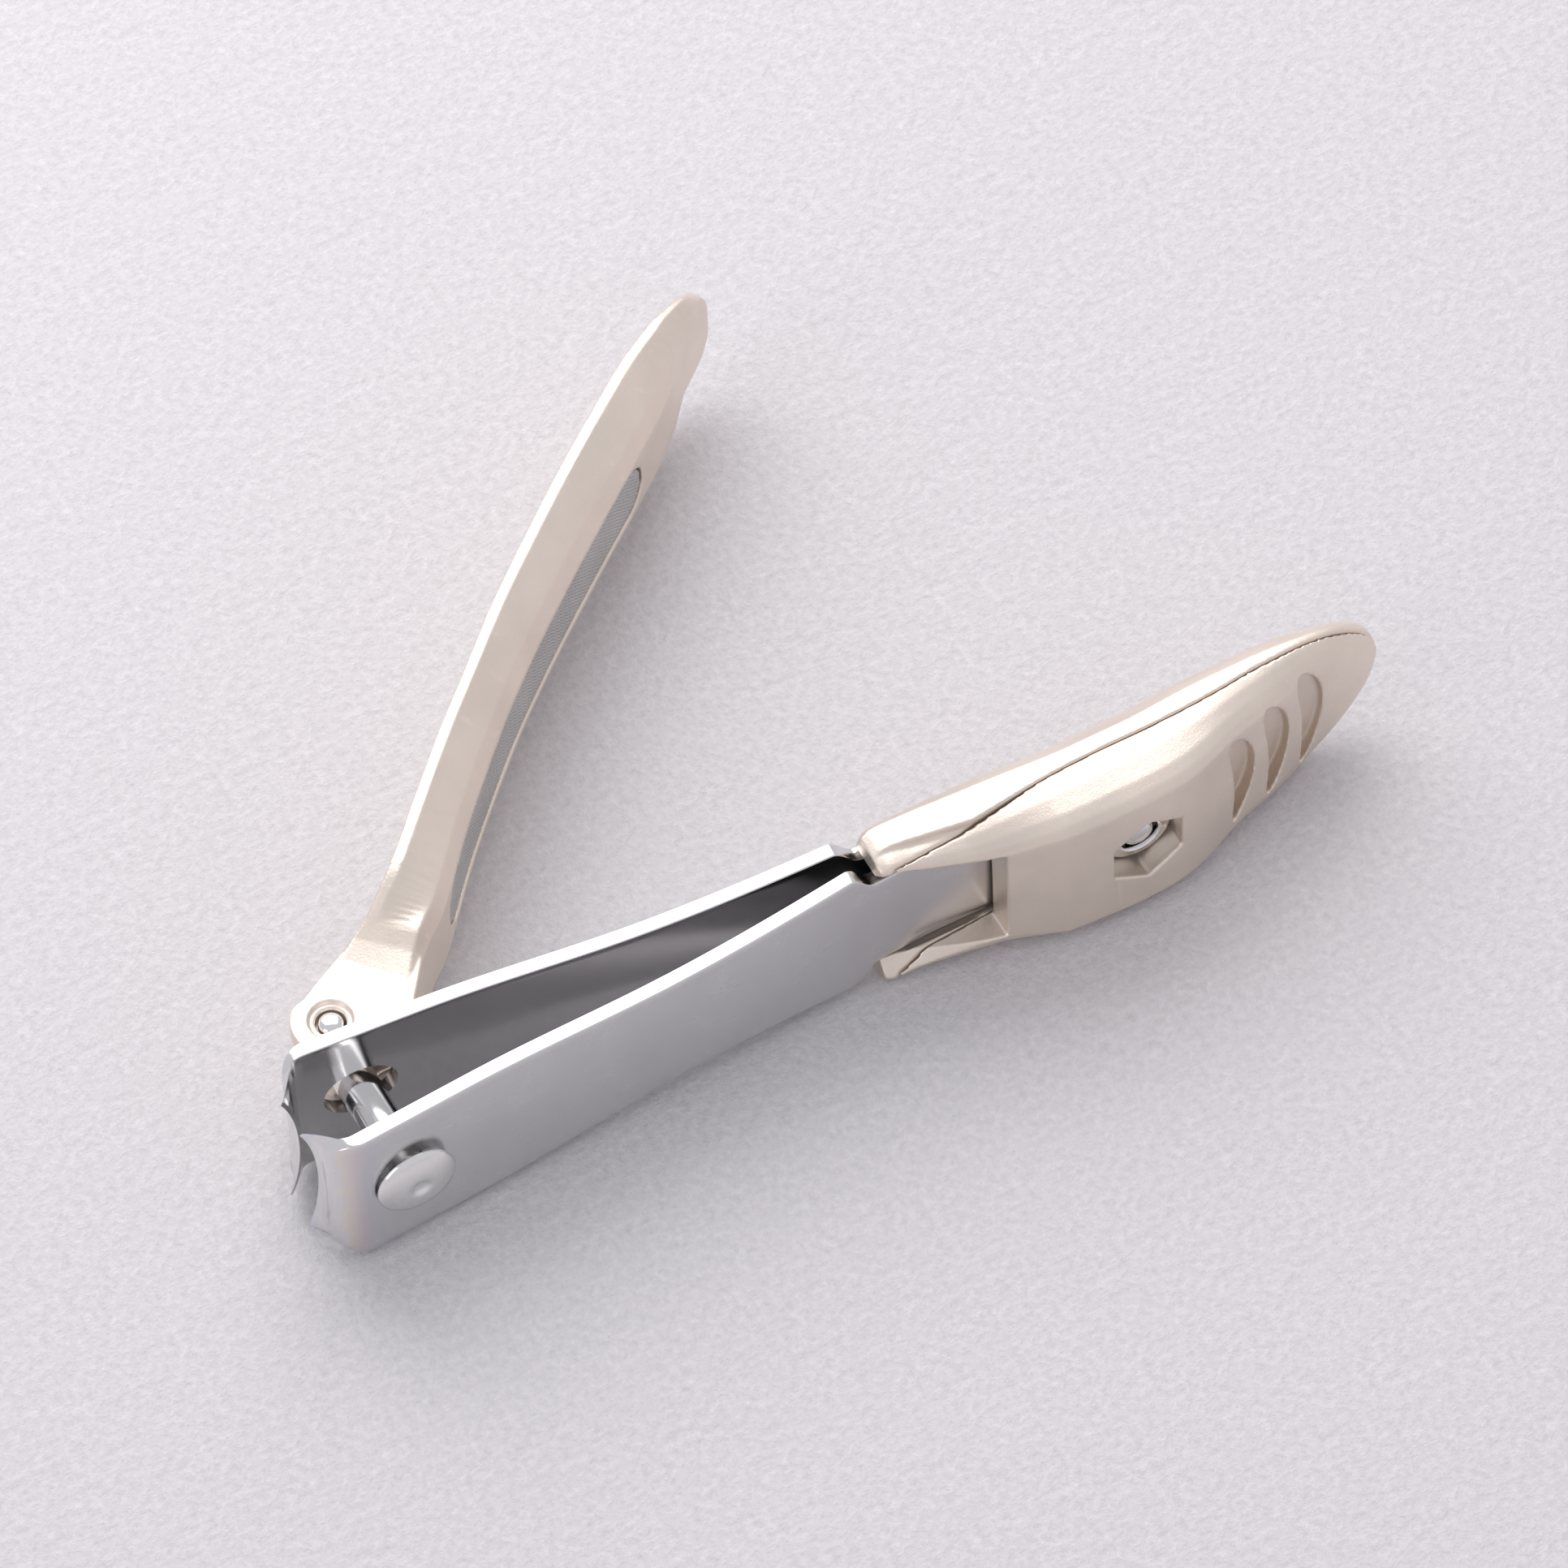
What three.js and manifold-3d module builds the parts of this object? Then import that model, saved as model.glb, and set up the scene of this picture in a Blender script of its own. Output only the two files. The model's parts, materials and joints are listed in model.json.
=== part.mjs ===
// Nail clipper: two sprung cutting blades held in a two-piece cast handle, with a
// swivelling post, a cross pin and a cast lever that carries a nail file.
//
// Millimetres. X runs from the jaws to the end of the handle, +Y is the lever's side
// and Z runs across the blades, so the clipper lies on its side. All outlines are
// drawn with X = 0 at the post and Z = 0 on the middle plane. The finished group is
// then moved so that its origin is the bottom centre of its bounding box.

import * as THREE from 'three';
import { mergeVertices } from 'three/addons/utils/BufferGeometryUtils.js';
import Module from 'manifold-3d';

// ---- driving dimensions -------------------------------------------------------

const GAP = 0.3; // clearance between neighbouring pieces

// blades
const SHEET = 1.3; // blade thickness
const FACE_AT_POST = 3.85; // inner face to middle plane, at the post
const SPREAD = 0.0739; // inner face slope: the blades close towards the handle
const TAIL_FACE = 0.35; // inner face to middle plane, in the handle
const BLADE_HALF = 7.5; // half width at the jaws
const WAIST_HALF = 6.37;
const WAIST_START = 5.5;
const WAIST_X = 26;
const WAIST_END = 62; // the width would be back to full here
const SHOULDER_X = 40.4; // full width ends
const SHOULDER_RUN = 2.3;
const TAIL_HALF = 5.35;
const TAIL_END = 69.5;
const JAW = {
  edgeX: -7.85, // cutting edge at the corners
  edgeY: 1.6,
  edgeHalf: 6.6,
  hollow: 1.2, // the edge is this far back in the middle
  cornerX: -6.7,
  cornerY: 5.02,
  bendX: -4.2, // outer face starts to curve here
};

// handle
const HANDLE_FRONT = 42.8;
const HANDLE_HALF = 8.2;
const HANDLE_TIP = 89.8;
const TIP_ROUND_X = 75.5; // the plan outline starts to round here
const SLOT_HALF = 5.75; // blade slot, half width
const SLOT_HEIGHT = 2.05; // blade slot, half height
const SLOT_END = 72;
const WINDOW_HALF = 5.5; // open window under the lower blade
const WINDOW_END = 52.8;
const LOWER_START = 46.4; // the lower casting begins here
const JOINT_GAP = 0.16; // between the two castings
const TAIL_RIVET = { x: 64.7, radius: 1.35, low: -4.85, high: 2.5, hole: 1.7 };
const HEX = { radius: 3.6, floor: -3.4 }; // pocket, corner radius
const COLLAR = { outer: 3.0, inner: 1.66, low: -4.5, high: -3.7 };

// post and cross pin
const POST = {
  radius: 1.75,
  x: -0.1,
  headRadius: 3.38,
  headTop: -5.62,
  headLow: -6.7,
  pinAt: 8.55, // height of the cross pin's axis
};
const PIN = { radius: 0.95, bore: 1.25, headBore: 1.85, headDepth: 0.55 };
const EAR_HALF = 3.65;
const EAR_SLOT = 2.05;
const NOSE_RADIUS = 3.25;
const SOLE_Y = 5.65;
const SOLE_REAR = 5.9;
const FLIP_SWING = 136; // degrees, the post's far position in the lever's slot
const PRESS_SWING = -54; // degrees, the post's near position in the lever's slot

// lever: [back x, back y, underside x, underside y, back half width, underside half width]
const LEVER_STATIONS = [
  [2.9, 13.5, 7.3, 8.3, 3.65, 3.3],
  [4.6, 14.5, 8.9, 10.3, 4.2, 3.3],
  [6.2, 15.3, 10.3, 11.7, 4.9, 3.2],
  [8.0, 16.4, 11.9, 13.1, 6.2, 3.1],
  [9.9, 17.9, 13.5, 14.8, 6.9, 3.1],
  [14.2, 22.3, 17.7, 19.8, 7.0, 3.1],
  [18.7, 26.9, 22.2, 24.6, 7.0, 3.1],
  [23.4, 31.4, 26.8, 29.2, 7.0, 3.1],
  [28.2, 36.0, 31.4, 33.3, 7.0, 3.1],
  [33.3, 40.4, 36.2, 37.3, 7.0, 3.1],
  [38.6, 44.8, 41.2, 41.3, 7.0, 3.1],
  [44.1, 49.1, 46.7, 45.6, 6.95, 3.1],
  [48.5, 52.4, 51.2, 49.4, 6.8, 3.0],
  [52.6, 55.0, 54.4, 53.1, 6.3, 2.9],
  [55.9, 56.8, 56.9, 55.3, 5.0, 2.6],
  [57.9, 57.7, 58.4, 56.6, 3.0, 1.8],
  [58.7, 58.0, 58.9, 57.4, 1.2, 0.8],
];
const LEVER_BAND = 0.9; // thickness of the flat side band
const FILE = { from: 4, to: 11, half: 2.3, thick: 0.35, recess: 0.6, rim: 0.25 };

// ---- solids -------------------------------------------------------------------

const wasm = await Module();
wasm.setup();

function solid(geometry) {
  const bare = geometry.index ? geometry : geometry.clone();
  bare.deleteAttribute('normal');
  bare.deleteAttribute('uv');
  const merged = mergeVertices(bare, 1e-4);
  return new wasm.Manifold(new wasm.Mesh({
    numProp: 3,
    vertProperties: new Float32Array(merged.attributes.position.array),
    triVerts: new Uint32Array(merged.index.array),
  }));
}

function toGeometry(manifold) {
  const mesh = manifold.getMesh();
  const geometry = new THREE.BufferGeometry();
  geometry.setAttribute('position', new THREE.BufferAttribute(mesh.vertProperties, 3));
  geometry.setIndex(new THREE.BufferAttribute(mesh.triVerts, 1));
  geometry.computeVertexNormals();
  return geometry;
}

// Prism along Z from an outline in X, Y.
function prismZ(points, zLow, zHigh) {
  const shape = new THREE.Shape(points.map(([x, y]) => new THREE.Vector2(x, y)));
  const geometry = new THREE.ExtrudeGeometry(shape, { depth: zHigh - zLow, bevelEnabled: false });
  geometry.translate(0, 0, zLow);
  return solid(geometry);
}

// Prism along Y from an outline in X, Z.
function prismY(points, yLow, yHigh) {
  const shape = new THREE.Shape(points.map(([x, z]) => new THREE.Vector2(x, -z)));
  const geometry = new THREE.ExtrudeGeometry(shape, { depth: yHigh - yLow, bevelEnabled: false });
  geometry.rotateX(-Math.PI / 2);
  geometry.translate(0, yLow, 0);
  return solid(geometry);
}

function box(x0, x1, y0, y1, z0, z1) {
  const geometry = new THREE.BoxGeometry(x1 - x0, y1 - y0, z1 - z0);
  geometry.translate((x0 + x1) / 2, (y0 + y1) / 2, (z0 + z1) / 2);
  return solid(geometry);
}

// Solid of revolution about Y: profile of [radius, y], closed on the axis.
function lathe(profile, segments = 32) {
  const points = profile.map(([r, y]) => new THREE.Vector2(r, y));
  return solid(new THREE.LatheGeometry(points, segments));
}

function cylinderY(radius, yLow, yHigh, x = 0, segments = 32) {
  const geometry = new THREE.CylinderGeometry(radius, radius, yHigh - yLow, segments);
  geometry.translate(x, (yLow + yHigh) / 2, 0);
  return solid(geometry);
}

function cylinderZ(radius, zLow, zHigh, x, y, segments = 32) {
  const geometry = new THREE.CylinderGeometry(radius, radius, zHigh - zLow, segments);
  geometry.rotateX(Math.PI / 2);
  geometry.translate(x, y, (zLow + zHigh) / 2);
  return solid(geometry);
}

// Skin over a row of closed rings with the same number of points, capped at both ends.
function loft(rings) {
  const count = rings[0].length;
  const positions = [];
  const index = [];
  rings.forEach((ring) => ring.forEach((p) => positions.push(p.x, p.y, p.z)));
  for (let r = 0; r + 1 < rings.length; r += 1) {
    for (let i = 0; i < count; i += 1) {
      const j = (i + 1) % count;
      const a = r * count + i;
      const b = r * count + j;
      index.push(a, b, b + count, a, b + count, a + count);
    }
  }
  const cap = (ring, offset, flip) => {
    const normal = new THREE.Vector3();
    const origin = ring[0];
    for (let i = 1; i + 1 < count; i += 1) {
      const a = ring[i].clone().sub(origin);
      const b = ring[i + 1].clone().sub(origin);
      normal.add(a.cross(b));
    }
    normal.normalize();
    const u = ring[1].clone().sub(origin).normalize();
    const v = normal.clone().cross(u);
    const flat = ring.map((p) => {
      const d = p.clone().sub(origin);
      return new THREE.Vector2(d.dot(u), d.dot(v));
    });
    THREE.ShapeUtils.triangulateShape(flat, []).forEach(([a, b, c]) => {
      if (flip) index.push(offset + a, offset + c, offset + b);
      else index.push(offset + a, offset + b, offset + c);
    });
  };
  cap(rings[0], 0, true);
  cap(rings[rings.length - 1], (rings.length - 1) * count, false);
  const geometry = new THREE.BufferGeometry();
  geometry.setAttribute('position', new THREE.Float32BufferAttribute(positions, 3));
  geometry.setIndex(index);
  const made = solid(geometry);
  if (made.volume() > 0) return made;
  const swapped = [];
  for (let i = 0; i < index.length; i += 3) swapped.push(index[i], index[i + 2], index[i + 1]);
  geometry.setIndex(swapped);
  return solid(geometry);
}

// Straight-line interpolation in a table of [x, value].
function along(table, x) {
  if (x <= table[0][0]) return table[0][1];
  for (let i = 1; i < table.length; i += 1) {
    const [x0, v0] = table[i - 1];
    const [x1, v1] = table[i];
    if (x <= x1) return v0 + ((v1 - v0) * (x - x0)) / (x1 - x0);
  }
  return table[table.length - 1][1];
}

// ---- blades -------------------------------------------------------------------

const innerFace = (x) => FACE_AT_POST - SPREAD * x;

// Section of the upper blade in X, Y at one place across its width.
function bladeSection(z) {
  const across = Math.min(1, Math.abs(z) / JAW.edgeHalf);
  const back = JAW.hollow * (1 - across * across);
  const edgeX = JAW.edgeX + back;
  const cornerX = JAW.cornerX + back * 0.12;
  const bend = 49.5; // the blades turn parallel here
  return [
    [TAIL_END, TAIL_FACE],
    [TAIL_END, TAIL_FACE + SHEET],
    [bend + 1.5, TAIL_FACE + SHEET],
    [bend - 0.5, TAIL_FACE + SHEET + 0.03],
    [bend - 2.5, innerFace(bend - 2.5) + SHEET],
    [JAW.bendX, innerFace(JAW.bendX) + SHEET],
    [-5.2, 5.44],
    [-6.1, 5.36],
    [-6.65, 5.2],
    [cornerX, JAW.cornerY],
    [cornerX * 0.66 + edgeX * 0.34, 3.85],
    [cornerX * 0.33 + edgeX * 0.67, 2.7],
    [edgeX, JAW.edgeY],
    [edgeX + 0.35 + back * 0.1, JAW.edgeY + 0.15],
    [-6.35 + back * 0.45, 3.35],
    [-5.55 + back * 0.1, 4.06],
    [-4.6, innerFace(-4.6)],
    [bend - 2.5, innerFace(bend - 2.5)],
    [bend - 0.8, TAIL_FACE + 0.03],
    [bend + 1, TAIL_FACE],
  ];
}

function bladeHalf(x) {
  if (x < JAW.cornerX + 1.4) {
    const t = (JAW.cornerX + 1.4 - x) / (JAW.cornerX + 1.4 - JAW.edgeX);
    return BLADE_HALF - (BLADE_HALF - JAW.edgeHalf) * t * t;
  }
  if (x < WAIST_START) return BLADE_HALF;
  const dip = BLADE_HALF - WAIST_HALF;
  const down = (x - WAIST_START) / (WAIST_X - WAIST_START);
  if (x < WAIST_X) return BLADE_HALF - (dip * (1 - Math.cos(Math.PI * down))) / 2;
  const up = (x - WAIST_X) / (WAIST_END - WAIST_X);
  const full = WAIST_HALF + (2.4 * (1 - Math.cos(Math.PI * up))) / 2;
  if (x < SHOULDER_X) return full;
  const step = Math.min(1, (x - SHOULDER_X) / SHOULDER_RUN);
  return full + ((TAIL_HALF - full) * (1 - Math.cos(Math.PI * step))) / 2;
}

function bladePlan() {
  const stations = [-9.5, -8.3, -7.6, -6.9, -6.2, -5.5, WAIST_START];
  for (let x = 8; x < SHOULDER_X; x += 3.6) stations.push(x);
  for (let i = 0; i <= 6; i += 1) stations.push(SHOULDER_X + (SHOULDER_RUN * i) / 6);
  const edge = stations.map((x) => [x, bladeHalf(x)]);
  for (let i = 0; i <= 5; i += 1) {
    const turn = (Math.PI / 2) * (i / 5);
    const corner = 2.5;
    edge.push([TAIL_END - corner + corner * Math.sin(turn), TAIL_HALF - corner + corner * Math.cos(turn)]);
  }
  const other = edge.map(([x, z]) => [x, -z]).reverse();
  return [...edge, ...other];
}

function blade(postBore, boreStretch) {
  const rings = [];
  const slices = 16;
  const reach = BLADE_HALF + 0.4;
  for (let i = 0; i <= slices; i += 1) {
    const z = -reach + (2 * reach * i) / slices;
    rings.push(bladeSection(z).map(([x, y]) => new THREE.Vector3(x, y, z)));
  }
  const cut = prismY(bladePlan(), -1, 9);
  const oval = [];
  for (let i = 0; i < 32; i += 1) {
    const turn = (2 * Math.PI * i) / 32;
    oval.push([(postBore + boreStretch) * Math.cos(turn), postBore * Math.sin(turn)]);
  }
  return loft(rings)
    .intersect(cut)
    .subtract(prismY(oval, 0, 9))
    .subtract(cylinderY(TAIL_RIVET.hole, -1, 4, TAIL_RIVET.x));
}

function mirrorY(manifold) {
  const geometry = toGeometry(manifold);
  geometry.scale(1, -1, 1);
  const flipped = geometry.index.array;
  for (let i = 0; i < flipped.length; i += 3) {
    const keep = flipped[i];
    flipped[i] = flipped[i + 1];
    flipped[i + 1] = keep;
  }
  return solid(geometry);
}

// ---- handle -------------------------------------------------------------------

const HANDLE_TOP = [
  [42.8, 1.9], [43.5, 2.55], [44.5, 2.9], [51, 3.2], [57.7, 3.1], [61, 2.9], [64.3, 2.9], [68.5, 3.25],
  [72, 3.5], [79, 3.55], [84.5, 3.7], [88, 3.8], [89.8, 3.5],
];
const HANDLE_BOTTOM = [
  [42.8, -2.8], [45.3, -3.2], [52.7, -4.85], [57.2, -6.05], [60, -6.35], [63.5, -6.4], [66.5, -6.25],
  [69, -5.85], [71.5, -4.95], [74.3, -3.75], [78.5, -2.45], [82.5, -0.95], [86, 0.1], [88.5, 0.9],
  [89.8, 1.7],
];
const HANDLE_JOINT = [
  [42.8, -2.95], [46.8, -2.5], [49.5, -2.3], [52, -2.05], [56.2, -1.5], [58, -1.3], [60.7, -1.1],
  [64, -0.98], [67.2, -0.95], [70.4, -0.82], [74.5, -0.5], [77.2, -0.15], [80, 0.17], [82.8, 0.62],
  [85.6, 1.05], [87.6, 1.4], [91, 2.2],
];

function handleHalf(x) {
  if (x < HANDLE_FRONT + 0.7) return HANDLE_HALF - 0.6 * (HANDLE_FRONT + 0.7 - x);
  if (x < TIP_ROUND_X) return HANDLE_HALF;
  const t = Math.min(0.995, (x - TIP_ROUND_X) / (HANDLE_TIP - TIP_ROUND_X));
  return HANDLE_HALF * (1 - t ** 2.3) ** 0.5;
}

function handleSection(x) {
  const top = along(HANDLE_TOP, x);
  const low = along(HANDLE_BOTTOM, x);
  const half = handleHalf(x);
  const height = top - low;
  const crown = 0.5 * Math.min(1, half / HANDLE_HALF);
  const shoulder = Math.min(1.7, 0.36 * height);
  const belt = Math.max(along(HANDLE_JOINT, x) - 0.4, low + 0.3 * height);
  const taper = Math.min(1.1, 0.26 * (belt - low));
  const side = [
    [top + crown, 0],
    [top + crown * 0.72, 0.4 * half],
    [top, 0.66 * half],
    [top - 0.28 * shoulder, 0.83 * half],
    [top - 0.62 * shoulder, 0.95 * half],
    [top - shoulder, half],
    [belt, half],
    [low + 0.16 * height, half - taper],
    [low + 0.05 * height, half - taper - 0.06 * half],
    [low, half - taper - 0.15 * half],
    [low, 0],
  ];
  const mirrored = side.slice(1, -1).map(([y, z]) => [y, -z]).reverse();
  return [...side, ...mirrored].map(([y, z]) => new THREE.Vector3(x, y, z));
}

function crescent(x, half, width, bow) {
  const outer = [];
  const inner = [];
  const steps = 8;
  for (let i = 0; i <= steps; i += 1) {
    const t = -1 + (2 * i) / steps;
    const swell = Math.sqrt(Math.max(0, 1 - t * t * 0.94));
    outer.push([x + bow * (1 - t * t) + (width / 2) * swell, half * t]);
    inner.push([x + bow * (1 - t * t) - (width / 2) * swell, half * t]);
  }
  return [...outer, ...inner.reverse()];
}

function handleShells() {
  const stations = [HANDLE_FRONT, 43.1, 43.5, 45.3, 48, 50.4, 52.7, 55, 57.2, 60, 66.5, 69, 71.5, 74.3, 76, 78.5,
    80.5, 82.5, 84.5, 86, 87.2, 88, 88.8, 89.3, 89.6, HANDLE_TIP];
  let outer = loft(stations.map(handleSection));
  const slot = box(HANDLE_FRONT - 2, SLOT_END, -SLOT_HEIGHT, SLOT_HEIGHT, -SLOT_HALF, SLOT_HALF);
  const windowOutline = [
    [HANDLE_FRONT - 2, -1.6], [WINDOW_END, -1.6], [WINDOW_END, -4.6], [WINDOW_END + 0.15, -5.0],
    [WINDOW_END + 0.6, -5.5], [WINDOW_END + 1.0, -9], [HANDLE_FRONT - 2, -9],
  ];
  outer = outer.subtract(slot).subtract(prismZ(windowOutline, -WINDOW_HALF, WINDOW_HALF));
  outer = outer.subtract(cylinderY(TAIL_RIVET.hole, -9, TAIL_RIVET.high + GAP, TAIL_RIVET.x));
  const hex = [];
  for (let i = 0; i < 6; i += 1) {
    const turn = Math.PI / 6 + (Math.PI / 3) * i;
    hex.push([TAIL_RIVET.x + HEX.radius * Math.cos(turn), HEX.radius * Math.sin(turn)]);
  }
  outer = outer.subtract(prismY(hex, -9, HEX.floor));
  [[73.9, -3.1], [78.0, -1.75], [82.0, -0.35]].forEach(([x, floor]) => {
    outer = outer.subtract(prismY(crescent(x, 4.7, 1.9, 1.0), -9, floor));
  });
  const start = LOWER_START;
  const line = [[start, along(HANDLE_JOINT, start)], ...HANDLE_JOINT.filter(([x]) => x > start)];
  const above = [
    [start - GAP / 2, -12], ...line.map(([x, y]) => [x - GAP / 2, y + JOINT_GAP / 2]),
    [91, 12], [HANDLE_FRONT - 3, 12], [HANDLE_FRONT - 3, -12],
  ];
  const below = [...line.map(([x, y]) => [x + GAP / 2, y - JOINT_GAP / 2]), [92, -12], [start + GAP / 2, -12]];
  return {
    upper: outer.intersect(prismZ(above, -12, 12)),
    lower: outer.intersect(prismZ(below, -12, 12)),
  };
}

// ---- post, pins and collar ----------------------------------------------------

const pinCentre = new THREE.Vector2(POST.x, POST.pinAt);

// The post stands on its own Y axis.
function post() {
  const crown = POST.pinAt + POST.radius;
  const profile = [
    [0, POST.headLow + 0.25], [0.55, POST.headLow + 0.2], [0.8, POST.headLow],
    [1.9, POST.headLow + 0.12], [2.8, POST.headLow + 0.34], [3.4, POST.headLow + 0.62],
    [POST.headRadius, POST.headLow + 0.85], [POST.headRadius, POST.headTop - 0.12],
    [POST.headRadius - 0.12, POST.headTop], [POST.radius, POST.headTop], [POST.radius, crown - 0.9],
    [POST.radius * 0.8, crown - 0.35], [POST.radius * 0.4, crown - 0.05], [0, crown],
  ];
  return lathe(profile).subtract(cylinderZ(PIN.bore, -4, 4, 0, POST.pinAt));
}

// The cross pin lies on its own Y axis here; the mesh is turned to lie along Z.
function crossPin() {
  const end = EAR_HALF - 0.1;
  const half = [
    [0, end], [0.35 * PIN.radius, end - 0.05], [0.72 * PIN.radius, end - 0.2], [PIN.radius, end - 0.5],
  ];
  const profile = [...half, ...half.map(([r, y]) => [r, -y]).reverse()].reverse();
  return lathe(profile, 24);
}

function tailRivet() {
  const { radius, low, high } = TAIL_RIVET;
  return lathe([[0, low], [radius - 0.25, low], [radius, low + 0.25], [radius, high - 0.2], [radius - 0.2, high], [0, high]]);
}

function tailCollar() {
  const { outer, inner, low, high } = COLLAR;
  return lathe([
    [inner, high], [inner, low + 0.2], [inner + 0.25, low], [outer - 0.25, low], [outer, low + 0.25],
    [outer, high], [inner, high],
  ]);
}

// ---- lever --------------------------------------------------------------------

function leverSection([bx, by, ux, uy, backHalf, underHalf]) {
  const across = new THREE.Vector2(ux - bx, uy - by);
  const depth = across.length();
  across.divideScalar(depth);
  const band = Math.min(LEVER_BAND, depth * 0.3);
  const soft = Math.min(0.3, depth * 0.12);
  const facet = Math.min(0.75, depth * 0.18);
  const side = [
    [0, 0.5 * backHalf],
    [soft * 0.4, backHalf - 0.8],
    [soft, backHalf],
    [soft + band, backHalf],
    [depth - facet, Math.min(underHalf + 1.6, backHalf - 0.02)],
    [depth, underHalf],
  ];
  const mirrored = side.map(([d, z]) => [d, -z]).reverse();
  return [...side, ...mirrored].map(
    ([d, z]) => new THREE.Vector3(bx + across.x * d, by + across.y * d, z),
  );
}

function earOutline() {
  const points = [[2.9, 13.5], [0.5, 12.25], [-1.1, 11.35]];
  const from = 128; // degrees round the nose, from the back to the sole
  const to = 243;
  for (let i = 0; i <= 9; i += 1) {
    const turn = THREE.MathUtils.degToRad(from + ((to - from) * i) / 9);
    points.push([pinCentre.x + NOSE_RADIUS * Math.cos(turn), pinCentre.y + NOSE_RADIUS * Math.sin(turn)]);
  }
  points.push([SOLE_REAR - 0.6, SOLE_Y], [SOLE_REAR - 0.1, SOLE_Y + 0.25]);
  points.push([SOLE_REAR + 0.25, SOLE_Y + 0.9], [8.9, 10.3], [4.6, 14.5]);
  return points;
}

function postSweep() {
  const radius = POST.radius + 0.35;
  const at = (angle, distance) => {
    const turn = THREE.MathUtils.degToRad(angle);
    return [distance * Math.cos(turn), distance * Math.sin(turn)];
  };
  const reach = 14;
  const points = [];
  for (let i = 0; i <= 4; i += 1) {
    points.push(at(PRESS_SWING + 90 + ((FLIP_SWING - 180 - PRESS_SWING) * i) / 4, radius));
  }
  const far = at(FLIP_SWING, reach);
  const near = at(PRESS_SWING, reach);
  const last = points[points.length - 1];
  const first = points[0];
  points.push([last[0] + far[0], last[1] + far[1]], at(180, reach), at(-125, reach), at(-90, reach));
  points.push([first[0] + near[0], first[1] + near[1]]);
  return points.map(([x, y]) => [x + pinCentre.x, y + pinCentre.y]);
}

// The part of the stations that the file lies on, as middle points and directions.
function fileTrack(sink) {
  const track = [];
  for (let i = FILE.from; i <= FILE.to; i += 1) {
    const [bx, by, ux, uy] = LEVER_STATIONS[i];
    const inward = new THREE.Vector2(bx - ux, by - uy).normalize();
    track.push({ x: ux + inward.x * sink, y: uy + inward.y * sink, inward });
  }
  return track;
}

// A strip along the lever's underside with rounded ends: half width, and thickness.
function strip(sink, thick, half, shorten) {
  const track = fileTrack(sink);
  const curve = new THREE.CatmullRomCurve3(track.map((p) => new THREE.Vector3(p.x, p.y, 0)));
  const steps = 22;
  const length = curve.getLength();
  const rings = [];
  for (let i = 0; i <= steps; i += 1) {
    const ease = (1 - Math.cos((Math.PI * i) / steps)) / 2;
    const t = (shorten + (length - 2 * shorten) * ease) / length;
    const run = Math.min(t * length - shorten, length - shorten - t * length);
    const round = Math.min(1, (run + 0.12) / half);
    const wide = half * Math.sqrt(1 - (1 - round) ** 2);
    const p = curve.getPointAt(t);
    const d = curve.getTangentAt(t);
    const nx = -d.y * thick;
    const ny = d.x * thick;
    rings.push([
      new THREE.Vector3(p.x, p.y, -wide),
      new THREE.Vector3(p.x, p.y, wide),
      new THREE.Vector3(p.x + nx, p.y + ny, wide),
      new THREE.Vector3(p.x + nx, p.y + ny, -wide),
    ]);
  }
  return loft(rings);
}

function lever() {
  const arm = loft(LEVER_STATIONS.map(leverSection));
  const ear = prismZ(earOutline(), -EAR_HALF, EAR_HALF);
  const { x, y } = pinCentre;
  let made = arm.add(ear);
  made = made.subtract(prismZ(postSweep(), -EAR_SLOT, EAR_SLOT));
  made = made.subtract(cylinderZ(PIN.bore, -5, 5, x, y));
  made = made.subtract(cylinderZ(PIN.headBore, EAR_HALF - PIN.headDepth, 5, x, y));
  made = made.subtract(cylinderZ(PIN.headBore, -5, -EAR_HALF + PIN.headDepth, x, y));
  return made.subtract(strip(-1, 1 + FILE.recess, FILE.half + FILE.rim, 0));
}

function nailFile() {
  return strip(FILE.recess - GAP / 2 - FILE.thick, FILE.thick, FILE.half, FILE.rim);
}

// ---- materials ----------------------------------------------------------------

const steel = new THREE.MeshStandardMaterial({ color: 0xb9b9bb, roughness: 0.22, metalness: 1 });
const polished = new THREE.MeshStandardMaterial({ color: 0xcfcdca, roughness: 0.12, metalness: 1 });
const casting = new THREE.MeshStandardMaterial({ color: 0xcfc4b4, roughness: 0.42, metalness: 0.9 });
const fileSteel = new THREE.MeshStandardMaterial({ color: 0x8b8985, roughness: 0.55, metalness: 0.8 });

// ---- assembly -----------------------------------------------------------------

const group = new THREE.Group();

function place(name, manifold, material) {
  const mesh = new THREE.Mesh(toGeometry(manifold), material);
  mesh.name = name;
  group.add(mesh);
  return mesh;
}

const shells = handleShells();
place('handle_upper_shell', shells.upper, casting);
place('handle_lower_shell', shells.lower, casting);
place('upper_blade', blade(2.7, 0.45), steel);
place('lower_blade', mirrorY(blade(2.6, 0.45)), steel);

const rivet = place('tail_rivet', tailRivet(), polished);
rivet.position.x = TAIL_RIVET.x;
const collar = place('tail_collar', tailCollar(), polished);
collar.position.x = TAIL_RIVET.x;

const leverPost = place('lever_post', post(), polished);
leverPost.position.x = POST.x;

const pin = place('cross_pin', crossPin(), polished);
pin.rotation.x = Math.PI / 2;
pin.position.set(pinCentre.x, pinCentre.y, 0);

place('lever_arm', lever(), casting);
place('nail_file', nailFile(), fileSteel);

group.updateMatrixWorld(true);
const bounds = new THREE.Box3().setFromObject(group);
const centre = bounds.getCenter(new THREE.Vector3());
group.position.set(-centre.x, -centre.y, -bounds.min.z);
group.updateMatrixWorld(true);

export default group;
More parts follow.
